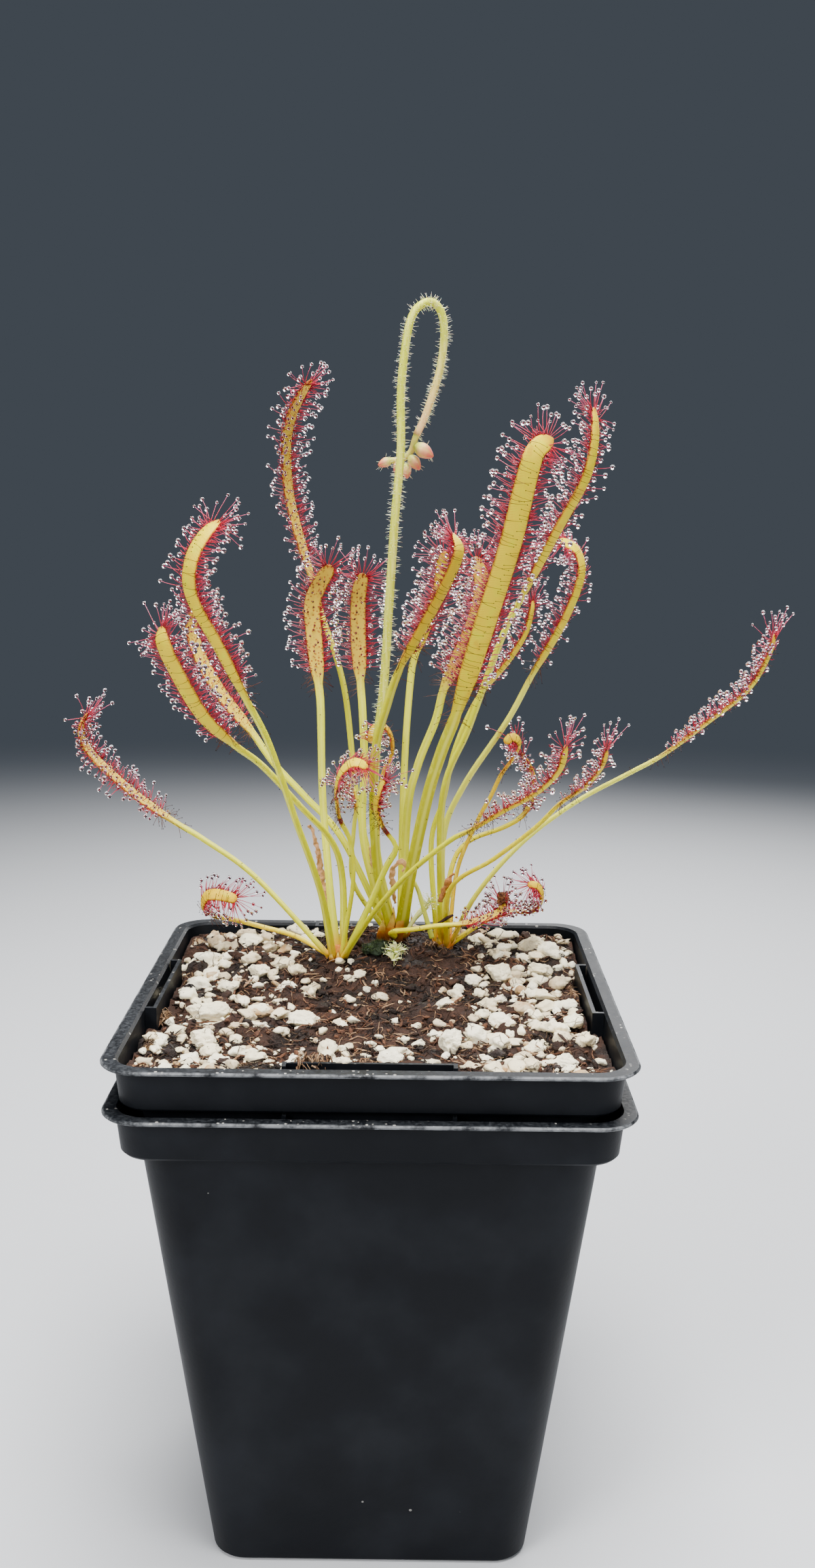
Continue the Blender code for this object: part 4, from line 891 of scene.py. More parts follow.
def makePerlite(material):
    draw = random.Random("perlite")
    fine = ball(5)
    for number, (node, (x, y, length, width, height, turn)) in enumerate(stoneRows.items()):
        shape = chipped(rugged(fine, 0.4, 1.1, number + 1), 3, number + 3)
        corners, faces = rugged(rugged(shape, 0.16, 2.8, number + 20), 0.07, 7.0, number + 40)
        corners = corners / np.abs(corners).max(axis=0)
        corners[:, 2] = np.maximum(corners[:, 2], -0.8)
        block = turned(corners, (length, width, height), turn)
        level = moundLevel(x * mm, y * mm) - stoneSink * mm
        heap = Heap()
        heap.add(block + np.array((x * mm, y * mm, level - block[:, 2].min())), [faces],
                 tint=draw.uniform(0.35, 0.85))
        heap.build(node.replace("_", ""), material, "perlite", [node])
    shapes = [rugged(rugged(chipped(rugged(ball(3), 0.6, 1.2, seed), seed % 4, seed), 0.2, 2.6, seed + 9),
                     0.08, 5.5, seed + 30) for seed in range(14)]
    heap = Heap()
    stones = list(stoneRows.values()) + pebbleRows
    for _ in range(40 * grit["pebbles"]):
        x, y = (draw.uniform(-grit["within"], grit["within"]) for _ in range(2))
        size = draw.uniform(*grit["pebbleSize"])
        near = min(math.hypot(x - row[0], y - row[1]) - 0.4 * (row[2] + size) for row in stones)
        if insidePot(x, y, 0.5 * size) and near > 0 and draw.random() < gritChance(x, y) ** 2 - 0.06:
            stones.append((x, y, size * draw.uniform(1, 1.6), size, size * draw.uniform(0.55, 0.85),
                           draw.uniform(0, 180)))
        if len(stones) == len(stoneRows) + len(pebbleRows) + grit["pebbles"]:
            break
    for x, y, length, width, height, turn in stones[len(stoneRows):]:
        corners, faces = shapes[draw.randrange(len(shapes))]
        block = turned(corners, (length, width, height), turn)
        level = mixLevel([x * mm], [y * mm])[0] - block[:, 2].min() - 0.3 * height * mm
        heap.add(block + np.array((x * mm, y * mm, level)), [faces], tint=draw.random() ** 0.8)
    for x, y, level, length, width, height, turn in lodged:
        corners, faces = shapes[draw.randrange(len(shapes))]
        block = turned(corners, (length, width, height), turn)
        heap.add(block + inMm((x, y, level)), [faces], tint=draw.uniform(0.5, 1))
    heap.build("perlitePebbles", material, "perlite")
    shapes = [chipped(rugged(ball(2), 0.6, 1.3, seed), 4, seed) for seed in range(12)]
    heap = Heap()
    places = scatter(draw, grit["count"], 1.0, gritChance)
    sizes = []
    for _ in places:
        size = grit["size"][0] + (grit["size"][1] - grit["size"][0]) * draw.random() ** 2
        sizes.append((size * draw.uniform(1, 1.7), size, size * draw.uniform(0.6, 0.95)))
    turnedBlocks(heap, shapes, draw, places, sizes, 0.25, [draw.random() for _ in places])
    heap.build("perliteGrit", material, "perlite")


peat = peatLook()
makeMix(peat)
makeCrumbs(peat)
makeFibres(peat)
makePerlite(perliteLook())
print("the potting mix is filled in, with", len(stoneRows) + len(pebbleRows), "perlite stones")


# Crowns: short stems with the papery stubs of old leaf bases

crownRows = {
    # x, y, z of the dome's centre and its radius in mm
    "left": (-8.5, 19.5, 102.0, 3.8),
    "centre": (3.5, 29.0, 104.0, 4.4),
    "right": (13.5, 26.5, 103.2, 4.0),
}
crown = dict(stubs=dict(centre=[[(1.8, 25.2, 103.0), (2.3, 24.0, 106.0), (2.8, 23.6, 109.6)],
                                [(3.8, 25.0, 103.0), (4.2, 23.7, 106.5), (4.8, 23.4, 110.4)],
                                [(0.2, 25.6, 103.0), (0.6, 24.4, 105.6), (0.7, 23.9, 107.8)]]),
             depth=9.0, sides=28, core=0.5, scales=9, scaleWidth=(1.0, 1.8),
             scaleLength=dict(left=(0.6, 1.8), centre=(2.2, 5.2), right=(0.6, 2.0)),
             pale=(0.62, 0.44, 0.07), orange=(0.50, 0.15, 0.012), brown=(0.10, 0.032, 0.012))


def ovalRings(points, across, face, widths, thicks, sides):
    turn = around(sides)
    return (points[:, None] + across[:, None] * (0.5 * widths[:, None] * np.cos(turn))[:, :, None]
            + face[:, None] * (0.5 * thicks[:, None] * np.sin(turn))[:, :, None])


def strap(heap, points, face, widths, thicks, sides=8, **marks):
    # A flat tapering strap along a smooth curve through the points
    route = curveThrough(points, 0.35 * mm)
    shares = pathReach(route) / pathReach(route)[-1]
    ahead = unit(np.gradient(route, axis=0))
    faces = carryFace(ahead, 0, face)
    wide, thick = (np.interp(shares, np.linspace(0, 1, len(row)), row) for row in (widths, thicks))
    rings = ovalRings(route, unit(np.cross(faces, ahead)), faces, wide, thick, sides)
    corners, skins = sweep(rings)
    marks.setdefault("along", perRing(shares, sides))
    heap.add(corners, skins, **marks)


def crownLook():
    look = Look("crownScales", {"Roughness": 0.72, "Specular IOR Level": 0.3})
    along = look.mark("along")
    grain = look.grain(900, 4.0)
    mixed = look.plus(look.times(along, 0.7), look.times(grain, 0.5))
    look.give("Base Color", look.ramp(mixed, [(0.25, crown["brown"]), (0.55, crown["orange"]),
                                              (0.85, crown["pale"]), (1.1, crown["brown"])]))
    look.bump(look.grain(2600, 4.0), 0.4, 0.0002)
    return look.material


def makeCrowns():
    material = crownLook()
    for name, (x, y, z, radius) in crownRows.items():
        draw = random.Random(name)
        profile = [(0.45, -1.0), (0.8, -0.55), (1.0, -0.12), (1.0, 0.06), (0.93, 0.16), (0.8, 0.27),
                   (0.62, 0.36), (0.42, 0.41), (0.2, 0.44)]
        rings = []
        for reach, level in profile:
            height = level * (crown["depth"] if level < 0 else radius / 0.44 * 0.45)
            turns = 2 * math.pi * np.arange(crown["sides"]) / crown["sides"]
            swell = np.array([1 + 0.07 * noise.noise((math.cos(t) * 2, math.sin(t) * 2, height + radius))
                              for t in turns])
            reachMm = reach * radius * swell * crown["core"]
            rings.append(np.column_stack((x + reachMm * np.cos(turns), y + reachMm * np.sin(turns),
                                          np.full(crown["sides"], z + height))) * mm)
        heap = Heap()
        corners, faces = sweep(np.array(rings))
        heap.add(corners, faces, along=0.45)
        for number in range(crown["scales"]):
            azimuth = golden * number
            way = np.array((math.cos(azimuth), math.sin(azimuth), 0))
            length, width = draw.uniform(*crown["scaleLength"][name]), draw.uniform(*crown["scaleWidth"])
            foot = np.array((x, y, z - 2.2)) + way * radius * 0.3
            belly = np.array((x, y, z - 0.2)) + way * radius * draw.uniform(0.5, 0.68)
            tip = belly + way * draw.uniform(-0.4, 0.9) + np.array((0, 0, length))
            strap(heap, np.array([foot, belly, tip]) * mm, way, np.array((0.7, 1.0, 0.75, 0.1)) * width * mm,
                  inMm((0.5, 0.4, 0.25, 0.08)))
        for points in crown["stubs"].get(name, ()):
            strap(heap, np.array(points) * mm, (0, -1, 0.2), inMm((2.0, 2.1, 1.5, 0.2)),
                  inMm((0.9, 0.7, 0.5, 0.15)))
        heap.build("crown" + name.capitalize(), material, "crown", ["crown_" + name])


makeCrowns()
print("three crowns are scaled")


# Leaves. azimuth, in degrees, is the side of the crown that a leaf leaves it on. stalk and blade are
# points in mm that the midrib runs through, stem is the petiole's width and width the blade's in mm,
# and face is where the tentacled side looks. tone runs from fresh lime green at 0 to old orange at 1,
# and shade from pale lime at 0 to olive yellow at 1. bare is the share of the blade that has dark old
# hairs in place of dew, and how many a mm. A leaf with a knot has a dark band where its blade starts.

leafRows = {
    "leaf_01": dict(
        crown="left", azimuth=188, stem=1.3, width=2.8, face=(0.5, -0.3, 0.8), tone=0.2, shade=0.3,
        stalk=[(-24.5, 16, 118.5), (-34.5, 13, 127)],
        blade=[(-40.5, 12, 131), (-48, 10, 137), (-55.5, 8, 145), (-57, 7, 149.5), (-55.5, 6, 153)]),
    "leaf_02": dict(
        crown="left", azimuth=150, stem=1.3, width=2.6, face=(0, 0, 1), tone=0.6, shade=0.5,
        stalk=[(-17, 24, 104), (-25, 28, 105), (-31.5, 30, 106)],
        blade=[(-35, 30, 106.5), (-37.5, 29.5, 108.5), (-36.5, 28, 111.5), (-33.5, 27, 112), (-30, 27, 111)]),
    "leaf_03": dict(
        crown="left", azimuth=25, stem=1.4, width=4.0, face=(0.5, 0.7, 0.4), tone=0.15, shade=0.55,
        stalk=[(-7.5, 20, 117), (-9.5, 17, 126), (-15.5, 13, 134), (-22.5, 8, 143)],
        blade=[(-27.5, 5, 147.5), (-33, 2, 153.5), (-37.5, -2, 163), (-39, -4, 167.5), (-40, -2, 170)]),
    "leaf_04": dict(
        crown="centre", azimuth=165, stem=1.5, width=3.4, face=(0.6, -0.6, 0.5), tone=0.15, shade=0.35,
        stalk=[(-8, 30, 123.5), (-16, 31, 132.5), (-22.5, 31, 139.5)],
        blade=[(-27, 31, 146), (-33, 31, 153.5), (-37.5, 32, 161), (-39.5, 33, 167.5), (-38.5, 33, 171.5)]),
    "leaf_05": dict(
        crown="left", azimuth=235, stem=1.5, width=3.4, face=(0.6, 0.7, 0.3), tone=0, shade=0.7,
        stalk=[(-11.5, 12, 117), (-16, 6, 133), (-20.5, 1, 148.5)],
        blade=[(-24.5, -2, 157.5), (-28.5, -5, 166.5), (-33, -8, 176), (-33, -9, 182), (-31, -8, 186.5),
               (-28.5, -5, 189.5)]),
    "leaf_06": dict(
        crown="centre", azimuth=122, stem=1.4, width=3.0, face=(0.7, -0.5, 0.3), tone=0.15, shade=0.4,
        stalk=[(-4.5, 33, 128), (-8, 36, 154.5), (-13, 39, 170)],
        blade=[(-15, 40, 177), (-19.5, 41, 192.5), (-20.5, 41, 203.5), (-19.5, 41, 210), (-17, 39, 215),
               (-15, 37, 217.5)]),
    "leaf_07": dict(
        crown="left", azimuth=100, stem=1.5, width=3.4, face=(0.2, -1, 0.1), tone=0.05, shade=0.3,
        stalk=[(-10.5, 23, 117), (-12, 26, 134), (-12.5, 28, 151.5)],
        blade=[(-13, 29, 156.5), (-14, 31, 165.5), (-14.5, 32, 172.5), (-13, 32, 176.5), (-10.5, 30, 180.5)]),
    "leaf_08": dict(
        crown="centre", azimuth=185, stem=1.6, width=3.2, face=(0.1, -1, 0.1), tone=0.1, shade=0.35,
        stalk=[(-3.5, 28, 123.5), (-3.5, 29, 140), (-4, 30, 151)],
        blade=[(-4.5, 31, 157), (-5, 32, 166), (-5, 32, 174), (-4, 30, 179)]),
    "leaf_09": dict(
        crown="centre", azimuth=255, stem=2.1, width=3.2, face=(-0.7, 0.6, 0.3), tone=0.1, shade=0.75,
        bare=(0.15, 5.0),
        stalk=[(-0.5, 17, 121), (-1, 12, 143.5), (1.5, 9, 155)],
        blade=[(4, 7, 162.5), (8, 5, 170), (12.5, 2, 179), (14.5, 1, 184.5), (13.5, 3, 187.5)]),
    "leaf_10": dict(
        crown="centre", azimuth=55, stem=1.5, width=3.2, face=(-0.5, 0.8, 0.2), tone=0.1, shade=0.3,
        stalk=[(4.5, 30, 127), (5, 31, 144.5), (6, 32, 158.5)],
        blade=[(7, 32, 163), (9, 33, 169), (11.5, 33, 175.5), (12, 33, 180.5), (12.5, 32, 183.5)]),
    "leaf_11": dict(
        crown="centre", azimuth=90, stem=1.2, width=2.0, face=(-1, 0, 0.1), tone=0.75, shade=0.4,
        bare=(0.9, 1.6),
        stalk=[(-0.5, 28, 121.5), (0, 28, 136.5)],
        blade=[(2, 27, 142), (2, 26, 146), (0.5, 25, 148.5), (-1.5, 24, 148), (-2, 24, 145)]),
    "leaf_12": dict(
        crown="left", azimuth=305, stem=1.2, width=2.8, face=(1, 0, 0.2), tone=0.2, shade=0.5,
        bare=(0.5, 8.0), knot=1,
        stalk=[(-5, 13, 118.5), (-5.5, 11, 127.5)],
        blade=[(-7.5, 9, 132.5), (-8, 7, 138.5), (-7, 5, 142.5), (-4.5, 4, 144.5), (-2, 4, 143.5)]),
    "leaf_13": dict(
        crown="left", azimuth=350, stem=1.4, width=2.4, face=(0.8, 0.3, 0.5), tone=0.05, shade=0.45,
        bare=(0.6, 9.0), knot=1,
        stalk=[(-2, 16, 113), (1.5, 13, 122), (3.5, 11, 126.5)],
        blade=[(1, 10, 130.5), (-0.5, 9, 134.5), (0, 9, 138), (1, 10, 140)]),
    "leaf_14": dict(
        crown="centre", azimuth=205, stem=1.2, width=2.0, face=(-1, 0, 0), tone=0.15, shade=0.2,
        stalk=[(-5.5, 23, 116), (-5.5, 22, 127)],
        blade=[(-5, 21, 132), (-5.5, 21, 136), (-7, 22, 137)]),
    "leaf_15": dict(
        crown="left", azimuth=312, stem=1.7, width=2.8, face=(-0.5, 0.4, 0.8), tone=0.15, shade=0.65,
        bare=(0.2, 7.0),
        stalk=[(-1.5, 12, 112), (5.5, 8, 121.5), (14, 5, 129.5)],
        blade=[(17.5, 4, 131.5), (23.5, 3, 135.5), (30, 2, 139.5), (34, 1, 144), (35, 0, 149)]),
    "leaf_16": dict(
        crown="centre", azimuth=295, stem=2.4, width=4.2, face=(-0.2, 0.9, 0.35), tone=0, shade=1,
        stalk=[(6.5, 15, 121), (9.5, 8, 137.5), (12, 4, 147)],
        blade=[(14.5, 1, 154.5), (19, -5, 171), (23, -10, 185.5), (25.5, -13, 197.5), (27, -13, 202),
               (30, -10, 204)]),
    "leaf_17": dict(
        crown="right", azimuth=250, stem=1.8, width=3.2, face=(-0.75, 0.55, 0.3), tone=0.05, shade=0.6,
        stalk=[(12.5, 18, 134.5), (17.5, 15, 150), (23.5, 11, 168.5)],
        blade=[(27, 10, 176), (33, 7, 188.5), (37.5, 5, 197.5), (39, 5, 204.5), (39, 7, 210.5)]),
    "leaf_18": dict(
        crown="right", azimuth=90, stem=2, width=3.6, face=(-0.8, 0.5, 0.35), tone=0, shade=0.05,
        stalk=[(13, 28.5, 124), (17, 30, 135), (26, 31, 149)],
        blade=[(31, 32, 158.5), (37, 33, 169), (40.5, 33, 178.5), (39.5, 33, 184), (35.5, 32, 186)]),
    "leaf_19": dict(
        crown="right", azimuth=180, stem=1.5, width=2.6, face=(-0.8, 0.45, 0.4), tone=0.15, shade=0.5,
        stalk=[(10.5, 26, 123.5), (13, 26, 133.5), (15, 26, 143.5)],
        blade=[(19.5, 27, 154), (25.5, 28, 161.5), (29, 29, 167), (30, 29, 170.5), (30.5, 29, 174)]),
    "leaf_20": dict(
        crown="centre", azimuth=315, stem=1.6, width=3.2, face=(0, -1, 0.2), tone=0.1, shade=0.35,
        stalk=[(5.5, 22, 130.5), (7.5, 21, 141), (11, 20, 150.5)],
        blade=[(12.5, 19, 157), (15.5, 18, 163.5), (18.5, 17, 171), (19.5, 16, 178), (18, 16, 183)]),
    "leaf_21": dict(
        crown="right", azimuth=345, stem=1.5, width=3.0, face=(-0.55, 0.35, 0.75), tone=0.1, shade=0.1,
        stalk=[(20, 23, 114), (29, 21, 125.5), (39.5, 19, 134.5), (49.5, 18, 140.5)],
        blade=[(56, 17, 144.5), (64, 16, 151), (71.5, 14, 158), (75, 13, 165), (75.5, 12, 169)]),
    "leaf_22": dict(
        crown="right", azimuth=292, stem=1.4, width=2.6, face=(-0.5, 0.3, 0.8), tone=0.45, shade=0.6,
        bare=(0.3, 5.0),
        stalk=[(14.5, 18, 116.5), (23, 15, 123.5), (31, 13, 130.5)],
        blade=[(35.5, 12, 135.5), (40, 11, 139), (43, 10, 143), (44, 10, 146.5)]),
    "leaf_23": dict(
        crown="right", azimuth=45, stem=1.1, width=2.2, face=(-0.9, 0.2, 0.3), tone=0.7, shade=0.4,
        bare=(0.9, 1.6),
        stalk=[(16, 31, 116.5), (20, 32, 127), (23, 32, 133)],
        blade=[(25, 32, 137.5), (27.5, 31, 141.5), (28.5, 30, 144.5), (27, 29, 146), (25.5, 29, 144.5)]),
    "leaf_24": dict(
        crown="right", azimuth=110, stem=1.1, width=2.2, face=(-0.6, -0.3, 0.7), tone=0.45, shade=0.5,
        stalk=[(15, 34, 116.5), (18.5, 36, 122), (26, 37, 125)],
        blade=[(30, 37, 127.5), (32.5, 37, 132), (32, 36, 137), (29.5, 35, 141.5)]),
    "leaf_25": dict(
        crown="centre", azimuth=280, stem=1.2, width=2.2, face=(0, -0.2, 1), tone=0.4, shade=0.5,
        stalk=[(2.5, 18.5, 107), (7, 17, 108), (12, 16.5, 109)],
        blade=[(16, 17.5, 109), (20, 20, 109), (23, 22, 109.5), (25.5, 23.5, 110.5), (25.5, 23.5, 112.5)]),
    "leaf_26": dict(
        crown="right", azimuth=335, stem=1.2, width=2.2, face=(0, 0.1, 1), tone=0.5, shade=0.6,
        stalk=[(21.5, 26.5, 107)],
        blade=[(24, 28, 107.5), (27, 29, 108.5), (29.5, 29.5, 108.5), (32, 29.5, 108.5), (33.5, 29, 110),
               (34, 28.5, 112), (33.5, 28, 114), (32, 27.5, 115), (31, 27, 114.5)]),
}
leafShape = dict(
    bare=(0.13, 4.0),
    footReach=0.35, footDepth=1.0, stalkThick=1.1, bladeThick=0.9,
    bladeLeast=1.5, stalkStep=1.6, bladeStep=0.9, sides=16,
    stalkStations=(0, 0.08, 0.25, 0.75, 1.0), stalkWidths=(1.3, 1.25, 1.05, 1.0, 1.0),
    bladeStations=(0, 0.13, 0.3, 0.47, 0.62, 0.76, 0.88, 0.95, 0.975, 0.99, 1.0),
    bladeWidths=(0.5, 0.9, 1.0, 1.0, 1.0, 0.98, 0.92, 0.8, 0.64, 0.44, 0.12),
    lime=(0.66, 0.68, 0.002), old=(0.70, 0.38, 0.004), golden=(0.74, 0.57, 0.0),
    faceYellow=(0.70, 0.50, 0.05), stipple=(0.30, 0.025, 0.02), edgeRed=(0.46, 0.05, 0.02),
    pale=(0.80, 0.80, 0.14), footOrange=(0.58, 0.24, 0.012), knot=(0.16, 0.012, 0.008),
    olive=(0.46, 0.44, 0.0))


def crownFoot(name, azimuth):
    # Where a petiole starts, inside the crown on the side that it leaves it
    x, y, z, radius = crownRows[name]
    way = np.array((math.cos(math.radians(azimuth)), math.sin(math.radians(azimuth)), 0))
    return (np.array((x, y, z - leafShape["footDepth"])) + way * radius * leafShape["footReach"]) * mm


class Leaf:
    # Midrib, frame and half width of a leaf at close stations, from its foot to its tip

    def __init__(self, name, row):
        self.name = name
        self.row = row
        self.width = row["width"] * mm
        self.bare = row.get("bare", leafShape["bare"])
        foot = crownFoot(row["crown"], row["azimuth"])
        blade = inMm(row["blade"])
        whole = curveThrough([foot, *inMm(row["stalk"]), *blade], mm)
        joint = np.argmin(np.linalg.norm(whole - blade[0], axis=1))
        stem, lamina = whole[:joint + 1], whole[joint:]
        stemLength, self.bladeLength = pathReach(stem)[-1], pathReach(lamina)[-1]
        stemShares = np.linspace(0, 1, round(stemLength / mm / leafShape["stalkStep"]), endpoint=False)
        count = round(0.95 * self.bladeLength / mm / leafShape["bladeStep"])
        bladeShares = np.concatenate((np.linspace(0, 0.95, count), (0.965, 0.978, 0.988, 0.995, 1.0)))
        self.points = np.vstack((pointsAt(stem, stemShares * stemLength),
                                 pointsAt(lamina, bladeShares * self.bladeLength)))
        self.along = np.concatenate((stemShares - 1, bladeShares))
        self.knot = row.get("knot", 0) * np.exp(-(self.along * self.bladeLength / (0.6 * mm)) ** 2)
        self.ahead = unit(np.gradient(self.points, axis=0))
        self.face = carryFace(self.ahead, len(stemShares), row["face"])
        self.across = unit(np.cross(self.face, self.ahead))
        swell = np.array(leafShape["stalkWidths"]) * row["stem"] * mm
        swell[-1] = max(swell[-1], leafShape["bladeWidths"][0] * self.width)
        narrow = np.interp(stemShares, leafShape["stalkStations"], swell)
        wide = self.width * np.interp(bladeShares, leafShape["bladeStations"], leafShape["bladeWidths"])
        wide = np.maximum(wide, np.where(bladeShares < 0.95, leafShape["bladeLeast"] * mm, 0))
        self.half = 0.5 * np.concatenate((narrow, wide))
        thin = ease(-0.08, 0.1, self.along)
        self.thick = mm * (leafShape["stalkThick"] * (1 - thin) + leafShape["bladeThick"] * thin)
        self.thick *= np.interp(self.along, (0.95, 1.0), (1.0, 0.35))

    def at(self, shares):
        # Places and frames at shares of the blade's length
        def read(rows):
            return np.column_stack([np.interp(shares, self.along, rows[:, axis]) for axis in range(3)])
        return (read(self.points), unit(read(self.ahead)), unit(read(self.face)),
                unit(read(self.across)), np.interp(shares, self.along, self.half))

    def addBody(self, heap):
        sides = leafShape["sides"]
        turn = around(sides)
        aside, raised = np.cos(turn), np.sin(turn)
        flat = ease(-0.04, 0.12, self.along)[:, None]
        rounded = np.sign(raised) * np.abs(raised) ** 0.85
        stalkLift = rounded * np.where(raised > 0, 0.5 + 0.5 * aside ** 2, 1)
        upper = np.abs(raised) ** 0.6 * (0.30 + 0.62 * aside ** 2)
        lower = -np.abs(raised) ** 0.7 * (0.92 + 0.25 * np.exp(-(aside / 0.24) ** 2))
        bladeLift = np.where(raised > 1e-6, upper, np.where(raised < -1e-6, lower, 0))
        lift = stalkLift * (1 - flat) + bladeLift * flat
        rings = (self.points[:, None] + self.across[:, None] * (self.half[:, None] * aside)[:, :, None]
                 + self.face[:, None] * (0.5 * self.thick[:, None] * lift)[:, :, None])
        corners, faces = sweep(rings)
        along = perRing(self.along, sides, (self.along[0], self.along[-1]))
        heap.add(corners, faces, along=along,
                 aside=np.concatenate((np.tile(aside, len(self.points)), (0, 0))),
                 raised=np.concatenate((np.tile(raised, len(self.points)), (0, 0))),
                 run=along * self.bladeLength / mm,
                 knot=perRing(self.knot, sides, (0, 0)),
                 tone=self.row["tone"], shade=self.row["shade"])


tentacle = dict(
    points=4, rootRadius=0.105, tipRadius=0.045, headRadius=0.17, clear=0.5, hairClear=0.12, fan=26, specks=5,
    # kind: spacing along the blade in mm, least and most length, least and most drop radius
    margin=(0.68, (2.5, 4.8), (0.34, 0.50)), inner=(1.15, (1.4, 3.0), (0.26, 0.38)),
    face=(1.25, (0.8, 1.6), (0.22, 0.32)), wrap=(0.75, (1.7, 3.1), (0, 0)), tip=(0, (4.4, 7.2), (0.26, 0.42)),
    fringePitch=0.23, fringeReach=(0.6, 2.4), fringeThick=0.12, largeDrop=0.33,
    boxRoom=0.027,    # how far tips may pass the solids' box, as a share of its size
    root=(0.30, 0.006, 0.012), crimson=(0.46, 0.018, 0.05), pink=(0.56, 0.13, 0.24),
    head=(0.10, 0.004, 0.012), oldRoot=(0.13, 0.055, 0.010), oldRed=(0.07, 0.018, 0.007),
    black=(0.008, 0.004, 0.004))


def growTentacles(leaf):
    # Kind, root, first and last direction, length and drop radius of every tentacle
    draw = random.Random("tentacles " + leaf.name)
    length = leaf.bladeLength / mm
    small = min(1.0, 0.55 + 0.14 * leaf.row["width"])
    rows = []

    def add(kind, share, side, offset, first, last, reach, drop=0.0):
        # Directions are sideways, towards the face and towards the tip
        place, ahead, face, across, half = (row[0] for row in leaf.at(np.array([share])))
        root = place + across * side * offset * half
        axes = np.array((across * side, face, ahead))
        start = unit(np.array(first)) @ axes
        rows.append((kind, root, start, start + np.array(last) @ axes, reach * small * mm, drop * mm))

    bare, shaggy = leaf.bare
    for side in (-1, 1):
        for kind in ("margin", "inner"):
            pitch, (least, most), drops = tentacle[kind]
            count = max(4, round(length * 0.93 / pitch))
            for number in range(count):
                share = 0.02 + 0.93 * (number + draw.uniform(0.1, 0.9)) / count
                if share < 0.75 * bare:
                    continue
                grown = float(ease(-0.1, 0.4, share))
                reach = least + (most - least) * draw.uniform(0.25, 1.0) * grown
                drop = draw.uniform(*drops) * (0.75 + 0.25 * grown)
                late = (draw.uniform(-0.3, 0.15), draw.uniform(-0.2, 0.6), draw.uniform(-0.1, 0.4))
                if kind == "margin":
                    add(kind, share, side, 0.93, (1, draw.uniform(-0.3, 0.6), draw.uniform(-0.15, 0.4)), late,
                        reach, drop)
                else:
                    add(kind, share, side, draw.uniform(0.5, 0.85),
                        (0.75, draw.uniform(0.4, 1.1), draw.uniform(-0.2, 0.4)), late, reach, drop)
    for kind in ("face", "wrap"):
        pitch, reaches, drops = tentacle[kind]
        count = max(4, round(length * 0.9 / pitch))
        for number in range(count):
            share = 0.02 + 0.9 * (number + draw.uniform(0.1, 0.9)) / count
            side, lean = draw.choice((-1, 1)), draw.uniform(-0.3, 0.4)
            if kind == "face":
                add(kind, share, side, draw.uniform(0, 0.5), (draw.uniform(-0.2, 0.4), 1, lean),
                    (0, 0.2, lean * 0.5), draw.uniform(*reaches), draw.uniform(*drops))
            else:
                add(kind, share, side, 0.95, (0.3, -0.78, 0.6 * lean), (-2.35, 0.78, lean * 0.2),
                    draw.uniform(*reaches) * 0.4 * leaf.row["width"] ** 0.75)
    _, reaches, drops = tentacle["tip"]
    for number in range(tentacle["fan"] if bare < 0.8 else 0):
        lean = math.radians(-100 + 200 * (number + draw.uniform(0.2, 0.8)) / tentacle["fan"])
        aside = abs(math.sin(lean))
        add("tip", draw.uniform(0.93, 0.985), math.copysign(1, lean), aside * 0.8,
            (aside, draw.uniform(-0.4, 0.6), math.cos(lean)),
            (draw.uniform(-0.3, 0.3), draw.uniform(-0.4, 0.3), draw.uniform(-0.2, 0.3)),
            draw.uniform(*reaches) * (0.75 + 0.25 * math.cos(lean)), draw.uniform(*drops))
    for _ in range(round(8 + length * bare * shaggy)):
        share = -0.04 + (bare + 0.04) * draw.random()
        add("burst", share, draw.choice((-1, 1)), draw.uniform(0.5, 0.95),
            (1, draw.uniform(-1.0, 0.6), draw.uniform(-0.8, 0.5) - 2 * max(0, 0.1 - share)),
            (draw.uniform(-0.3, 0.3), draw.uniform(-0.5, 0.5), draw.uniform(-0.7, 0.3)), draw.uniform(1.6, 3.4))
    for _ in range(tentacle["specks"]):
        add("burst", -draw.uniform(0.04, 0.7), draw.choice((-1, 1)), draw.uniform(0, 0.95),
            (draw.uniform(0, 1), draw.choice((-1, 1)), draw.uniform(-0.3, 0.3)), (0, 0, 0),
            draw.uniform(0.65, 0.9))
    return rows


def clearOf(points, rivals, reach):
    # True for each point that is further than reach from every rival's skin; rivals are x y z radius
    gaps = np.linalg.norm(points[:, None] - rivals[None, :, :3], axis=2) - rivals[None, :, 3]
    return gaps.min(axis=1) > reach


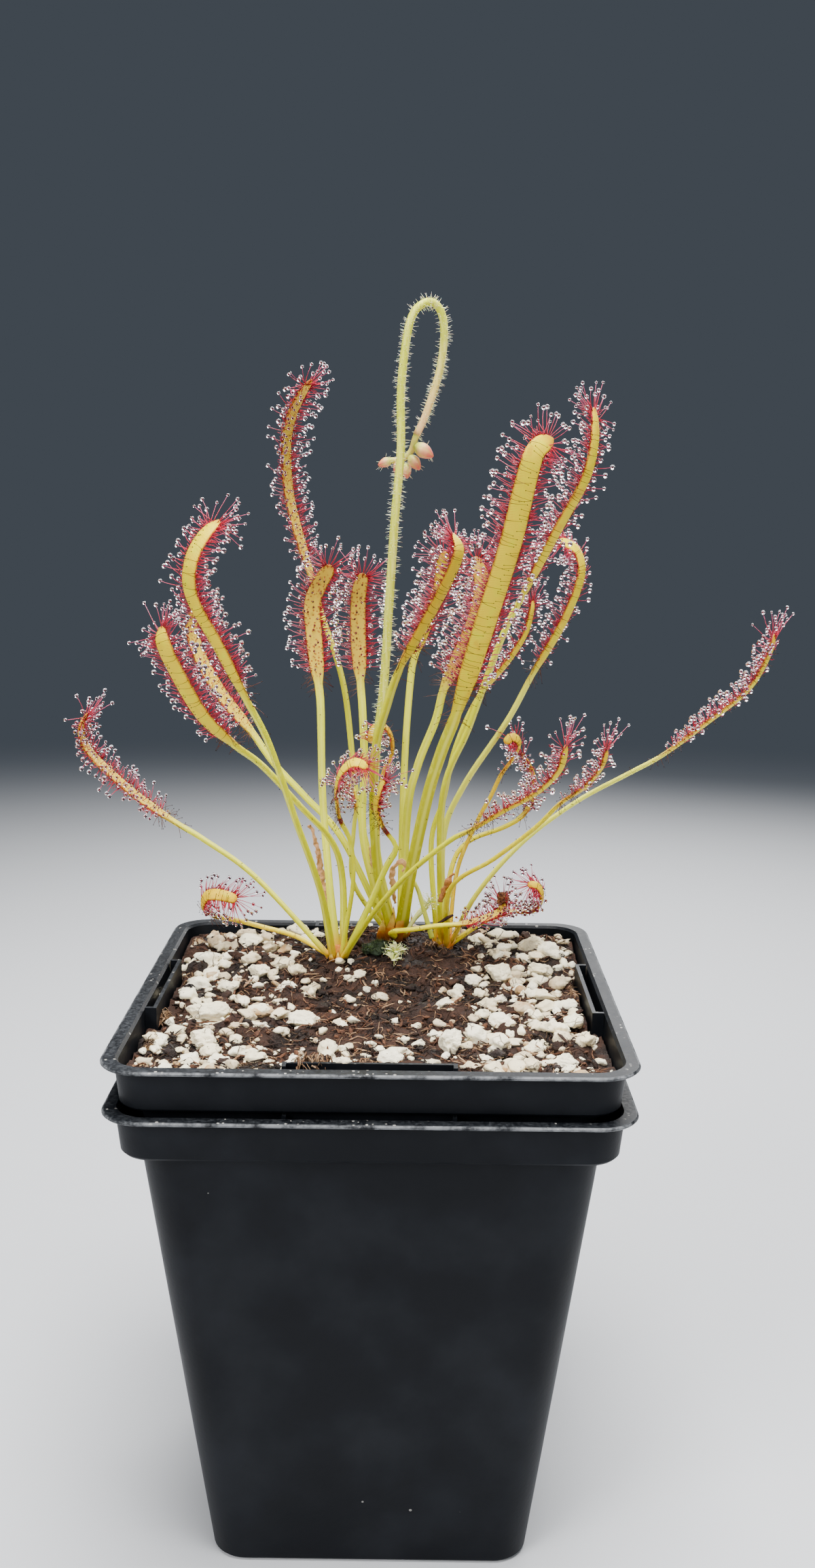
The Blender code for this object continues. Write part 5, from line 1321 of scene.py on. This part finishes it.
def addFringe(heap, leaf, rivals):
    # Short crimson bristles close beside each other along both margins
    draw = random.Random("fringe " + leaf.name)
    count = round(2 * leaf.bladeLength / mm / tentacle["fringePitch"])
    start = min(0.7 * leaf.bare[0], 0.3)
    shares = np.array([draw.uniform(start, 0.985) for _ in range(count // (3 if leaf.bare[0] > 0.8 else 1))])
    place, ahead, face, across, half = leaf.at(shares)
    aside = across * np.array([draw.choice((-1, 1)) for _ in shares])[:, None]
    ways = np.array([(draw.uniform(-0.6, 0.9), draw.uniform(-0.4, 0.5)) for _ in shares])
    outward = unit(aside + face * ways[:, :1] + ahead * ways[:, 1:])
    roots = place + aside * (half * drawn(draw, len(shares), 0.78, 0.97))[:, None]
    least, most = tentacle["fringeReach"]
    reach = np.array([least + (most - least) * draw.random() ** 1.6 for _ in shares])[:, None, None] * mm
    steps = np.array((0, 0.5, 1.0))[None, :, None]
    bend = (ahead * 0.25 + face * 0.15)[:, None] * steps ** 2
    paths = roots[:, None] + reach * (outward[:, None] * steps + bend)
    keep = clearOf(paths[:, -1], rivals, tentacle["hairClear"] * mm)
    addTubes(heap, paths[keep], np.array((1.0, 0.7, 0.35)) * tentacle["fringeThick"] * mm, 3,
             reach=np.array((0.0, 0.3, 0.55)), old=0.0)
    return int(keep.sum())


def addTentacles(heap, dew, rows, rivals):
    # The hairs, their red heads and the dew round them; those that would touch another leaf are left out
    kinds, roots, first, last, reach, drops = (np.array(column) for column in zip(*rows))
    steps = np.linspace(0, 1, tentacle["points"])
    paths = roots[:, None] + reach[:, None, None] * (
        steps[None, :, None] * first[:, None] + 0.5 * steps[None, :, None] ** 2 * (last - first)[:, None])
    tips = paths[:, -1]
    room = np.where(drops > 0, tentacle["clear"], tentacle["hairClear"]) * mm
    keep = clearOf(tips, rivals, room) & clearOf(paths[:, -2], rivals, tentacle["hairClear"] * mm)
    low, high = (np.array(corner) for corner in cadBox)
    room = tentacle["boxRoom"] * (high - low)
    spread = drops[:, None] + 0.1 * mm
    keep &= np.all((tips - spread > low - room) & (tips + spread < high + room), axis=1)
    paths, tips, drops, kinds = paths[keep], tips[keep], drops[keep], kinds[keep]
    old = np.isin(kinds, ("wrap", "burst")).astype(float)
    radii = mm * (tentacle["rootRadius"] + (tentacle["tipRadius"] - tentacle["rootRadius"]) * steps ** 0.7)
    addTubes(heap, paths, radii * (1 - 0.3 * old[:, None]), 3, reach=steps, old=old[:, None])
    heads = tentacle["headRadius"] * mm * np.where(drops > 0, 1.0, 0.7)
    addBalls(heap, headShape, tips, heads, reach=1.3, old=old)
    settled = np.empty((0, 4))
    for tip, drop in zip(tips[drops > 0], drops[drops > 0]):
        if len(settled):
            gaps = np.linalg.norm(settled[:, :3] - tip, axis=1) - 0.8 * (settled[:, 3] + drop)
            if gaps.min() < 0:
                continue
        settled = np.vstack((settled, (*tip, drop)))
    large = settled[:, 3] > tentacle["largeDrop"] * mm
    for shape, rows in ((ball(2), settled[large]), (ball(1), settled[~large])):
        addBalls(dew, shape, rows[:, :3], rows[:, 3:] * (1, 1, 1.1))
    return len(tips), len(settled)


def leafLook():
    look = Look("leafSkin", {"Specular IOR Level": 0.14, "Subsurface Weight": 0.25,
                             "Subsurface Radius": (1.0, 0.9, 0.15), "Subsurface Scale": 0.001})
    along, aside, raised, tone, run = (look.mark(name)
                                       for name in ("along", "aside", "raised", "tone", "run"))
    middle = look.node("ShaderNodeMath", {0: aside}, operation="ABSOLUTE").outputs[0]
    mottle = look.grain(380, 4.0)
    streaks = look.grain(90, 4.0, (18, 18, 1.2))
    aged = look.between(look.plus(tone, look.times(mottle, 0.25)), 0.15, 1.15)
    shade = look.mark("shade")
    stalk = look.blend(look.times(look.between(shade, 0.4, 1.0), 0.8), leafShape["lime"], leafShape["olive"])
    light = look.less(look.between(shade, 0.0, 0.5))
    stalk = look.blend(look.times(light, 0.6), stalk, leafShape["pale"])
    stalk = look.blend(aged, stalk, leafShape["old"])
    # The pale stripe down the middle of each petiole is a painted sheen; the pale streaks mixed in with it are
    # the stalk's own colour
    shine = look.less(look.between(middle, 0.12, 0.45))
    streaksAndSheen = look.sums("MAXIMUM", look.times(shine, 0.6), look.times(look.between(streaks, 0.5, 0.75), 0.45))
    stalk = look.blend(streaksAndSheen, stalk, leafShape["pale"])
    foot = look.between(look.sums("SUBTRACT", 0.0, along), 0.86, 1.0)
    stalk = look.blend(look.times(foot, 0.75), stalk, leafShape["footOrange"])
    edge = look.between(middle, 0.8, 1.0)
    back = look.blend(aged, leafShape["golden"], leafShape["old"])
    back = look.blend(look.times(look.between(mottle, 0.45, 0.75), 0.6), back, leafShape["lime"])
    blots = look.between(look.grain(260, 2.0), 0.62, 0.7)
    back = look.blend(look.times(blots, 0.3), back, leafShape["footOrange"])
    slant = look.plus(look.times(run, 2.1), look.times(middle, 1.4))
    row = look.between(look.sums("PINGPONG", slant, 0.5), 0.30, 0.5)
    rows = look.times(row, look.between(middle, 0.2, 0.7))
    back = look.blend(look.times(rows, 0.4), back, leafShape["footOrange"])
    dots = look.cells(1500)
    speck = look.less(look.between(dots.outputs["Distance"], 0.14, 0.4))
    front = look.blend(look.times(speck, 0.8), leafShape["faceYellow"], leafShape["stipple"])
    blade = look.blend(look.between(raised, -0.05, 0.25), back, front)
    blade = look.blend(look.times(edge, 0.55), blade, leafShape["edgeRed"])
    base = look.blend(look.between(along, -0.1, 0.12), stalk, blade)
    tipRed = look.times(look.between(along, 0.94, 1.0), 0.5)
    base = look.blend(tipRed, base, leafShape["edgeRed"])
    knot = look.between(look.plus(look.mark("knot"), look.times(mottle, 0.3)), 0.5, 0.8)
    look.give("Base Color", look.blend(knot, base, leafShape["knot"]))
    look.give("Roughness", look.ramp(mottle, [(0.3, (0.38,)), (0.7, (0.55,))]))
    look.bump(look.plus(streaks, look.times(mottle, 0.5)), 0.25, 0.0002)
    return look.material


def tentacleLook():
    look = Look("tentacleSkin", {"Roughness": 0.4, "Specular IOR Level": 0.25, "Subsurface Weight": 0.1,
                                 "Subsurface Scale": 0.0003})
    reach, old = look.mark("reach"), look.mark("old")
    fresh = look.ramp(look.sums("DIVIDE", reach, 1.3),
                      [(0.0, tentacle["root"]), (0.35, tentacle["crimson"]), (0.74, tentacle["pink"]),
                       (0.8, tentacle["head"])])
    speckle = look.between(look.grain(600, 2.0), 0.4, 0.7)
    fresh = look.blend(look.times(speckle, 0.3), fresh, tentacle["crimson"])
    aged = look.ramp(look.sums("DIVIDE", reach, 1.3),
                     [(0.0, tentacle["oldRoot"]), (0.6, tentacle["oldRed"]), (0.82, tentacle["black"])])
    look.give("Base Color", look.blend(old, fresh, aged))
    return look.material


def dewLook():
    look = Look("clearDew", {"Base Color": (0.88, 0.82, 0.84, 1), "Roughness": 0.0, "IOR": 1.36,
                             "Transmission Weight": 1.0, "Specular IOR Level": 0.6})
    look.bump(look.grain(300, 1.0), 0.05, 0.0001)
    return look.material


leaves = [Leaf(name, row) for name, row in leafRows.items()]
headShape = (np.vstack((np.eye(3), -np.eye(3))), np.array(
    ((0, 1, 2), (1, 3, 2), (3, 4, 2), (4, 0, 2), (1, 0, 5), (3, 1, 5), (4, 3, 5), (0, 4, 5))))


def makeLeaves():
    skin, red, clear = leafLook(), tentacleLook(), dewLook()
    bodies = {leaf.name: np.column_stack((leaf.points, leaf.half)) for leaf in leaves}
    grown = beads = 0
    for crownName in crownRows:
        hairs, dew = Heap(), Heap()
        for leaf in leaves:
            if leaf.row["crown"] != crownName:
                continue
            body = Heap()
            leaf.addBody(body)
            body.build(leaf.name.replace("_", ""), skin, "leaf", [leaf.name])
            rivals = np.concatenate([rows for name, rows in bodies.items() if name != leaf.name])
            tentacles, drops = addTentacles(hairs, dew, growTentacles(leaf), rivals)
            grown += tentacles + addFringe(hairs, leaf, rivals)
            beads += drops
        hairs.build("tentacles" + crownName.capitalize(), red)
        dew.build("dew" + crownName.capitalize(), clear)
    print(len(leaves), "leaves with", grown, "tentacles and", beads, "drops of dew")


makeLeaves()


# The flower stalk, bent over in a crook, and its bunch of buds

flower = dict(
    azimuth=245, foot=0.95, taper=0.25, sides=14, hairs=1500, hairReach=(0.6, 1.25),
    route=[(-1, 22, 125), (-1, 21, 142.5), (0.5, 20, 156.5), (1.5, 19, 173.5), (2.5, 18, 190),
           (3.5, 18, 202.5), (3.5, 18, 215), (5, 18, 226.5), (7.5, 18.5, 230), (10, 20, 230),
           (11.5, 21, 226.5), (11, 22, 219), (8.5, 22, 210.5), (6.5, 21.5, 206)],
    green=(0.58, 0.61, 0.03), pale=(0.78, 0.77, 0.18), blush=(0.80, 0.50, 0.22), hair=(0.86, 0.88, 0.46))
buds = dict(
    rachisWidth=1.2, hairLength=(0.5, 1.0), hairThick=0.04,
    rachis=[(6.9, 21.6, 207.2), (6.15, 21.7, 205.0), (5.4, 22.4, 202.8), (3.6, 23.1, 201.4),
            (1.0, 22.6, 201.1)],
    rows=[
        # centre and length in mm, and where the bud's tip points
        ((8.0, 21.5, 203.0), 4.2, (0.9, 0, -0.6)),
        ((6.2, 22.3, 200.8), 3.4, (0.6, 0.1, -0.8)),
        ((4.6, 23.0, 199.2), 3.0, (0.1, 0.3, -1)),
        ((3.0, 23.1, 200.2), 3.0, (-0.5, 0.2, -1)),
        ((0.4, 22.5, 200.7), 2.8, (-1, 0, -0.4)),
    ],
    girth=0.74, rings=14, sides=20, hairs=14, pink=(0.70, 0.11, 0.08), cream=(0.80, 0.46, 0.20),
    green=(0.56, 0.58, 0.08))


def stalkLook():
    look = Look("stalkSkin", {"Roughness": 0.5, "Specular IOR Level": 0.2, "Subsurface Weight": 0.2,
                              "Subsurface Radius": (1.0, 0.9, 0.2), "Subsurface Scale": 0.0006})
    along = look.mark("along")
    streaks = look.grain(70, 4.0, (22, 22, 1.0))
    base = look.blend(look.between(streaks, 0.4, 0.7), flower["green"], flower["pale"])
    look.give("Base Color", look.blend(look.between(along, 0.86, 1.0), base, flower["blush"]))
    look.bump(streaks, 0.2, 0.0002)
    return look.material


def hairLook(name, colour, tip):
    look = Look(name, {"Roughness": 0.4, "Subsurface Weight": 0.2, "Subsurface Scale": 0.0002})
    look.give("Base Color", look.ramp(look.mark("along"), [(0.2, colour), (1.0, tip)]))
    return look.material


def budLook():
    look = Look("budSkin", {"Roughness": 0.5, "Subsurface Weight": 0.15, "Subsurface Scale": 0.0006})
    along, rib = look.mark("along"), look.mark("rib")
    mottle = look.grain(700, 3.0)
    base = look.ramp(look.plus(along, look.times(look.sums("SUBTRACT", mottle, 0.5), 0.4)),
                     [(0.08, buds["green"]), (0.38, buds["cream"]), (0.78, buds["pink"])])
    look.give("Base Color", look.blend(look.times(rib, 0.4), base, buds["green"]))
    look.bump(look.grain(1500, 3.0), 0.25, 0.0002)
    return look.material


def standHairs(heap, roots, outward, lengths, thick, **marks):
    # Straight tapering hairs
    steps = np.array((0.0, 0.5, 1.0))
    paths = roots[:, None] + outward[:, None] * (lengths[:, None, None] * steps[None, :, None])
    addTubes(heap, paths, np.array((1.0, 0.7, 0.25)) * thick * mm, 3, along=steps, **marks)


def makeStalk():
    whole = curveThrough([crownFoot("centre", flower["azimuth"]), *inMm(flower["route"])], mm)
    length = pathReach(whole)[-1]
    shares = np.linspace(0, 1, 190)
    points = pointsAt(whole, shares * length)
    ahead = unit(np.gradient(points, axis=0))
    face = carryFace(ahead, 0, (0, -1, 0))
    across = unit(np.cross(face, ahead))
    radius = mm * (flower["foot"] - flower["taper"] * shares)
    corners, faces = sweep(ovalRings(points, across, face, 2 * radius, 2 * radius, flower["sides"]))
    heap = Heap()
    heap.add(corners, faces, along=perRing(shares, flower["sides"]))
    heap.build("flowerStalk", stalkLook(), "flower_stalk", ["flower_stalk"])
    draw = random.Random("stalk hairs")
    spots = np.array([draw.uniform(0.12, 1.0) ** 0.85 for _ in range(flower["hairs"])])
    turns = drawn(draw, len(spots), 0, 2 * math.pi)
    index = np.clip(np.round(spots * (len(points) - 1)).astype(int), 0, len(points) - 1)
    jitter = drawn(draw, len(spots), -0.5, 0.5)[:, None] * ahead[index] * length / len(points)
    outward = face[index] * np.cos(turns)[:, None] + across[index] * np.sin(turns)[:, None]
    roots = points[index] + jitter + outward * (radius[index] * 0.9)[:, None]
    lean = drawn(draw, len(spots), -0.35, 0.35)[:, None]
    lengths = drawn(draw, len(spots), *flower["hairReach"]) * mm
    hairs = Heap()
    standHairs(hairs, roots, unit(outward + lean * ahead[index]), lengths, 0.045)
    return hairs


def makeBuds(hairs):
    heap = Heap()
    route = curveThrough(inMm(buds["rachis"]), 0.3 * mm)
    ahead = unit(np.gradient(route, axis=0))
    face = carryFace(ahead, 0, (0, -1, 0))
    width = np.full(len(route), buds["rachisWidth"] * mm)
    corners, faces = sweep(ovalRings(route, unit(np.cross(face, ahead)), face, width, width, 10))
    heap.add(corners, faces, along=0.15, rib=0.0)
    turn = around(buds["sides"])
    draw = random.Random("bud hairs")
    for centre, length, way in buds["rows"]:
        rise01 = np.linspace(0, 1, buds["rings"])
        girth = np.sin(math.pi * np.clip(rise01 * 0.94 + 0.03, 0, 1)) ** 0.62 * (1 - 0.32 * rise01 ** 1.6)
        seam = 0.5 + 0.5 * np.cos(5 * turn)
        reach = 0.5 * buds["girth"] * length * girth[:, None] * (1 + 0.07 * seam - 0.03)
        local = np.dstack((reach * np.cos(turn), reach * np.sin(turn),
                           np.broadcast_to((rise01[:, None] - 0.5) * length, reach.shape)))
        spin = np.array(Vector((0, 0, 1)).rotation_difference(Vector(way)).to_matrix())
        rings = local @ spin.T * mm + np.array(centre) * mm
        corners, faces = sweep(rings)
        heap.add(corners, faces, along=perRing(rise01, buds["sides"]),
                 rib=np.concatenate((np.tile((1 - seam) ** 3, buds["rings"]), (0, 0))))
        picks = [draw.randrange(buds["sides"], len(corners) - buds["sides"] - 2) for _ in range(buds["hairs"])]
        roots = corners[picks]
        outward = unit(roots - np.array(centre) * mm)
        standHairs(hairs, roots - outward * 0.05 * mm, outward,
                   drawn(draw, len(picks), *buds["hairLength"]) * mm, buds["hairThick"])
    heap.build("flowerBuds", budLook(), "flower_buds", ["flower_buds"])


stalkHairs = makeStalk()
makeBuds(stalkHairs)
stalkHairs.build("stalkHairs", hairLook("stalkHair", flower["hair"], (0.9, 0.88, 0.72)), "flower_stalk")
print("the flower stalk and its buds are up")


# Small things at the plants' feet

moss = dict(
    # x, y, radius and height of each cushion in mm
    cushions=[(-1.6, 21.6, 1.7, 1.2), (0.6, 21.9, 1.6, 1.5), (-0.4, 19.9, 1.5, 1.0), (1.3, 20.4, 1.2, 0.9),
              (-2.4, 20.2, 1.0, 0.8), (-0.6, 22.9, 1.3, 1.3)],
    shoots=620, dark=(0.008, 0.018, 0.004), bright=(0.075, 0.13, 0.012))
seedling = dict(
    # x, y, height over the seat, blade length in mm, blades, hairs
    rosettes=[(3.5, 18.0, 1.5, 2.3, 8, 72), (3.0, 16.3, 0.4, 2.0, 7, 56)],
    green=(0.62, 0.66, 0.07), tip=(0.86, 0.87, 0.55))
youngLeaf = dict(route=[(5.5, 22.6, 105.6), (7.4, 22.4, 108.8), (9.2, 22.2, 111.0), (10.7, 22.0, 112.9)],
                 spare=[(10.9, 21.4, 104.9), (9.4, 20.6, 110.2), (8.0, 19.6, 115.2), (6.6, 18.9, 118.4)],
                 blob=(6.4, 18.6, 120.6), hairs=64)
deadBits = dict(
    seed=3, crinkle=0.45, crinkleLength=0.9,
    black=(0.008, 0.006, 0.005), brown=(0.07, 0.022, 0.012), orange=(0.42, 0.17, 0.05),
    straw=(0.66, 0.40, 0.22),
    stick=[(9.4, 19.3, 106.9), (10.8, 19.4, 107.9), (12.3, 19.5, 108.6), (13.9, 19.6, 109.7),
           (15.2, 19.8, 110.3)],
    straps=[
        # points in mm, width, thickness, face, colour tint
        ([(-9.8, 23.5, 105), (-11.3, 26.5, 111), (-12.3, 28, 116.1), (-12.9, 28, 119.7), (-13.5, 28, 123.4),
          (-14.4, 28, 126), (-15.0, 27.4, 127.3)], 1.6, 0.5, (0.4, -0.8, 0.2), 0.8),
        ([(12.5, 19.4, 113.3), (13.2, 19.0, 115.8), (14.2, 18.9, 117.9), (15.1, 19.0, 119.4)], 1.3, 0.7,
         (0, -1, 0.2), 0.55),
        ([(1.4, 24.0, 108.0), (0.6, 25.4, 113.0), (-0.6, 26.0, 117.3), (-1.6, 26.0, 120.4), (-2.1, 26.0, 123)],
         1.7, 0.5, (0.2, -1, 0.3), 0.95),
        ([(3.2, 22.2, 112.0), (2.7, 21.4, 116.0), (2.5, 21.0, 118.8), (3.4, 20.8, 120.6), (4.7, 20.8, 121.1),
          (5.3, 20.9, 120.1), (4.7, 21.0, 119.0)], 1.2, 0.45, (0.3, -1, 0.1), 0.85),
    ],
    clump=(25.5, 23.5, 112.8), clumpSize=1.3)


def mossLook():
    look = Look("mossGreen", {"Roughness": 0.85})
    mixed = look.times(look.mark("along"), look.grain(500, 3.0))
    look.give("Base Color", look.ramp(mixed, [(0.15, moss["dark"]), (0.75, moss["bright"])]))
    look.bump(look.grain(1800, 3.0), 0.4, 0.0002)
    return look.material


def makeMoss():
    level = mossSpot[3]
    draw = random.Random("moss")
    heap = Heap()
    for number, (x, y, radius, rise01) in enumerate(moss["cushions"]):
        corners, faces = rugged(rugged(ball(3), 0.35, 2.0, number + 3), 0.2, 5.0, number)
        corners = corners.copy()
        corners[:, 2] = np.maximum(corners[:, 2], -0.3)
        cushion = corners * inMm((radius, radius, rise01))
        cushion += inMm((x, y, level)) - (0, 0, cushion[:, 2].min())
        heap.add(cushion, [faces], along=0.3)
        middle = cushion.mean(axis=0)
        top = cushion[cushion[:, 2] > middle[2]]
        roots = top[[draw.randrange(len(top)) for _ in range(moss["shoots"] // len(moss["cushions"]))]]
        lean = np.array([(draw.uniform(-1, 1), draw.uniform(-1, 1), draw.uniform(-0.2, 1)) for _ in roots])
        lengths = np.array([0.25 + 0.75 * draw.random() ** 2 for _ in roots]) * mm
        standHairs(heap, roots, unit(0.6 * unit(roots - middle) + lean), lengths, 0.08)
    heap.build("mossCushion", mossLook(), "moss", ["moss"])


def hairyRosette(heap, centre, blades, length, hairs, hairLength, draw):
    # A tiny plant: narrow leaflets all round, each tipped with pale hairs
    for number in range(blades):
        azimuth, lift = golden * number, draw.uniform(0.25, 1.15)
        way = np.array((math.cos(azimuth) * math.cos(lift), math.sin(azimuth) * math.cos(lift), math.sin(lift)))
        middle = centre + way * 0.55 * length * mm + np.array((0, 0, 0.2 * mm))
        tip = centre + way * length * mm
        strap(heap, [centre, middle, tip], (0, 0, 1), inMm((0.4, 0.6, 1.1, 0.6)),
              inMm((0.3, 0.3, 0.3, 0.15)), 8)
        count = hairs // blades
        roots = np.array([tip - way * draw.uniform(0, 0.5) * length * mm for _ in range(count)])
        outward = unit(np.array([way * draw.uniform(0, 1) + np.array([draw.gauss(0, 0.7) for _ in range(3)])
                                 for _ in range(count)]))
        lengths = drawn(draw, count, *hairLength) * mm
        standHairs(heap, roots, outward, lengths, 0.05)
        addBalls(heap, ball(1), roots + outward * lengths[:, None], 0.08 * mm, along=1.0)


def makeSeedlings():
    draw = random.Random("seedlings")
    look = hairLook("seedlingSkin", seedling["green"], seedling["tip"])
    heap = Heap()
    for x, y, lift, length, blades, hairs in seedling["rosettes"]:
        centre = inMm((x, y, seedlingSpot[3] + lift))
        hairyRosette(heap, centre, blades, length, hairs, (0.8, 1.5), draw)
    heap.build("seedlingRosette", look, "seedling", ["seedling"])
    heap = Heap()
    route = inMm(youngLeaf["route"])
    strap(heap, route, (0, -1, 0.3), inMm((0.8, 0.8, 1.1, 1.4, 0.7)),
          inMm((0.7, 0.6, 0.5, 0.3)), along=0.5)
    strap(heap, inMm(youngLeaf["spare"]), (0, -1, 0.3), inMm((1.1, 1.0, 0.9, 0.7)),
          inMm((0.8, 0.7, 0.6, 0.4)), along=0.0)
    corners, faces = rugged(ball(2), 0.5, 1.5, 2)
    heap.add(corners * (0.6, 0.45, 0.45) * mm + inMm(youngLeaf["blob"]), [faces], along=1.0)
    count = youngLeaf["hairs"]
    back = drawn(draw, count, 0, 0.9)[:, None]
    roots = route[-1] - (route[-1] - route[-2]) * back
    outward = unit(np.array([[draw.gauss(0, 0.8), draw.gauss(-0.2, 0.7), draw.gauss(0.3, 0.8)]
                             for _ in range(count)]))
    lengths = drawn(draw, count, 1.4, 3.0) * mm
    standHairs(heap, roots, outward, lengths, 0.07)
    addBalls(heap, ball(1), roots + outward * lengths[:, None], 0.11 * mm, along=1.0)
    heap.build("youngLeaf", look)


def deadLook():
    look = Look("driedLeaf", {"Roughness": 0.8, "Specular IOR Level": 0.2})
    tint = look.mark("tint")
    spots = look.between(look.cells(2100).outputs["Distance"], 0.1, 0.6)
    mottle = look.sums("SUBTRACT", look.grain(800, 5.0, rough=0.7), look.times(look.less(spots), 0.35))
    mixed = look.plus(look.times(tint, 0.8), look.times(mottle, 0.35))
    look.give("Base Color", look.ramp(mixed, [(0.1, deadBits["black"]), (0.35, deadBits["brown"]),
                                              (0.62, deadBits["orange"]), (0.95, deadBits["straw"])]))
    look.bump(look.grain(1500, 5.0), 0.6, 0.0003)
    return look.material


def makeDeadBits():
    noise.seed_set(deadBits["seed"])
    look = deadLook()
    heap = Heap()
    strap(heap, inMm(deadBits["stick"]), (0, 0, 1), inMm((0.35, 0.6, 0.8, 0.8, 1.0, 0.6)),
          inMm((0.3, 0.5, 0.6, 0.6, 0.7, 0.4)), 10, tint=0.02)
    heap.build("deadStick", look)
    heap = Heap()
    for points, width, thick, face, tint in deadBits["straps"]:
        strap(heap, np.array(points) * mm, face, np.array((0.7, 0.9, 1.0, 0.8, 0.35)) * width * mm,
              np.array((1.0, 0.8, 0.8, 0.7, 0.4)) * thick * mm, 14, tint=tint)
        crinkle = [noise.noise_vector(Vector(corner) / (deadBits["crinkleLength"] * mm))
                   for corner in heap.corners[-1]]
        heap.corners[-1] = heap.corners[-1] + deadBits["crinkle"] * mm * np.array(crinkle)
    corners, faces = rugged(rugged(ball(4), 0.7, 1.4, 5), 0.35, 3.5, 8)
    heap.add(corners * deadBits["clumpSize"] * mm + inMm(deadBits["clump"]), [faces],
             along=0.5, tint=0.3)
    heap.build("driedScraps", look)


makeMoss()
makeSeedlings()
makeDeadBits()
print("moss, seedlings and dried bits are placed")
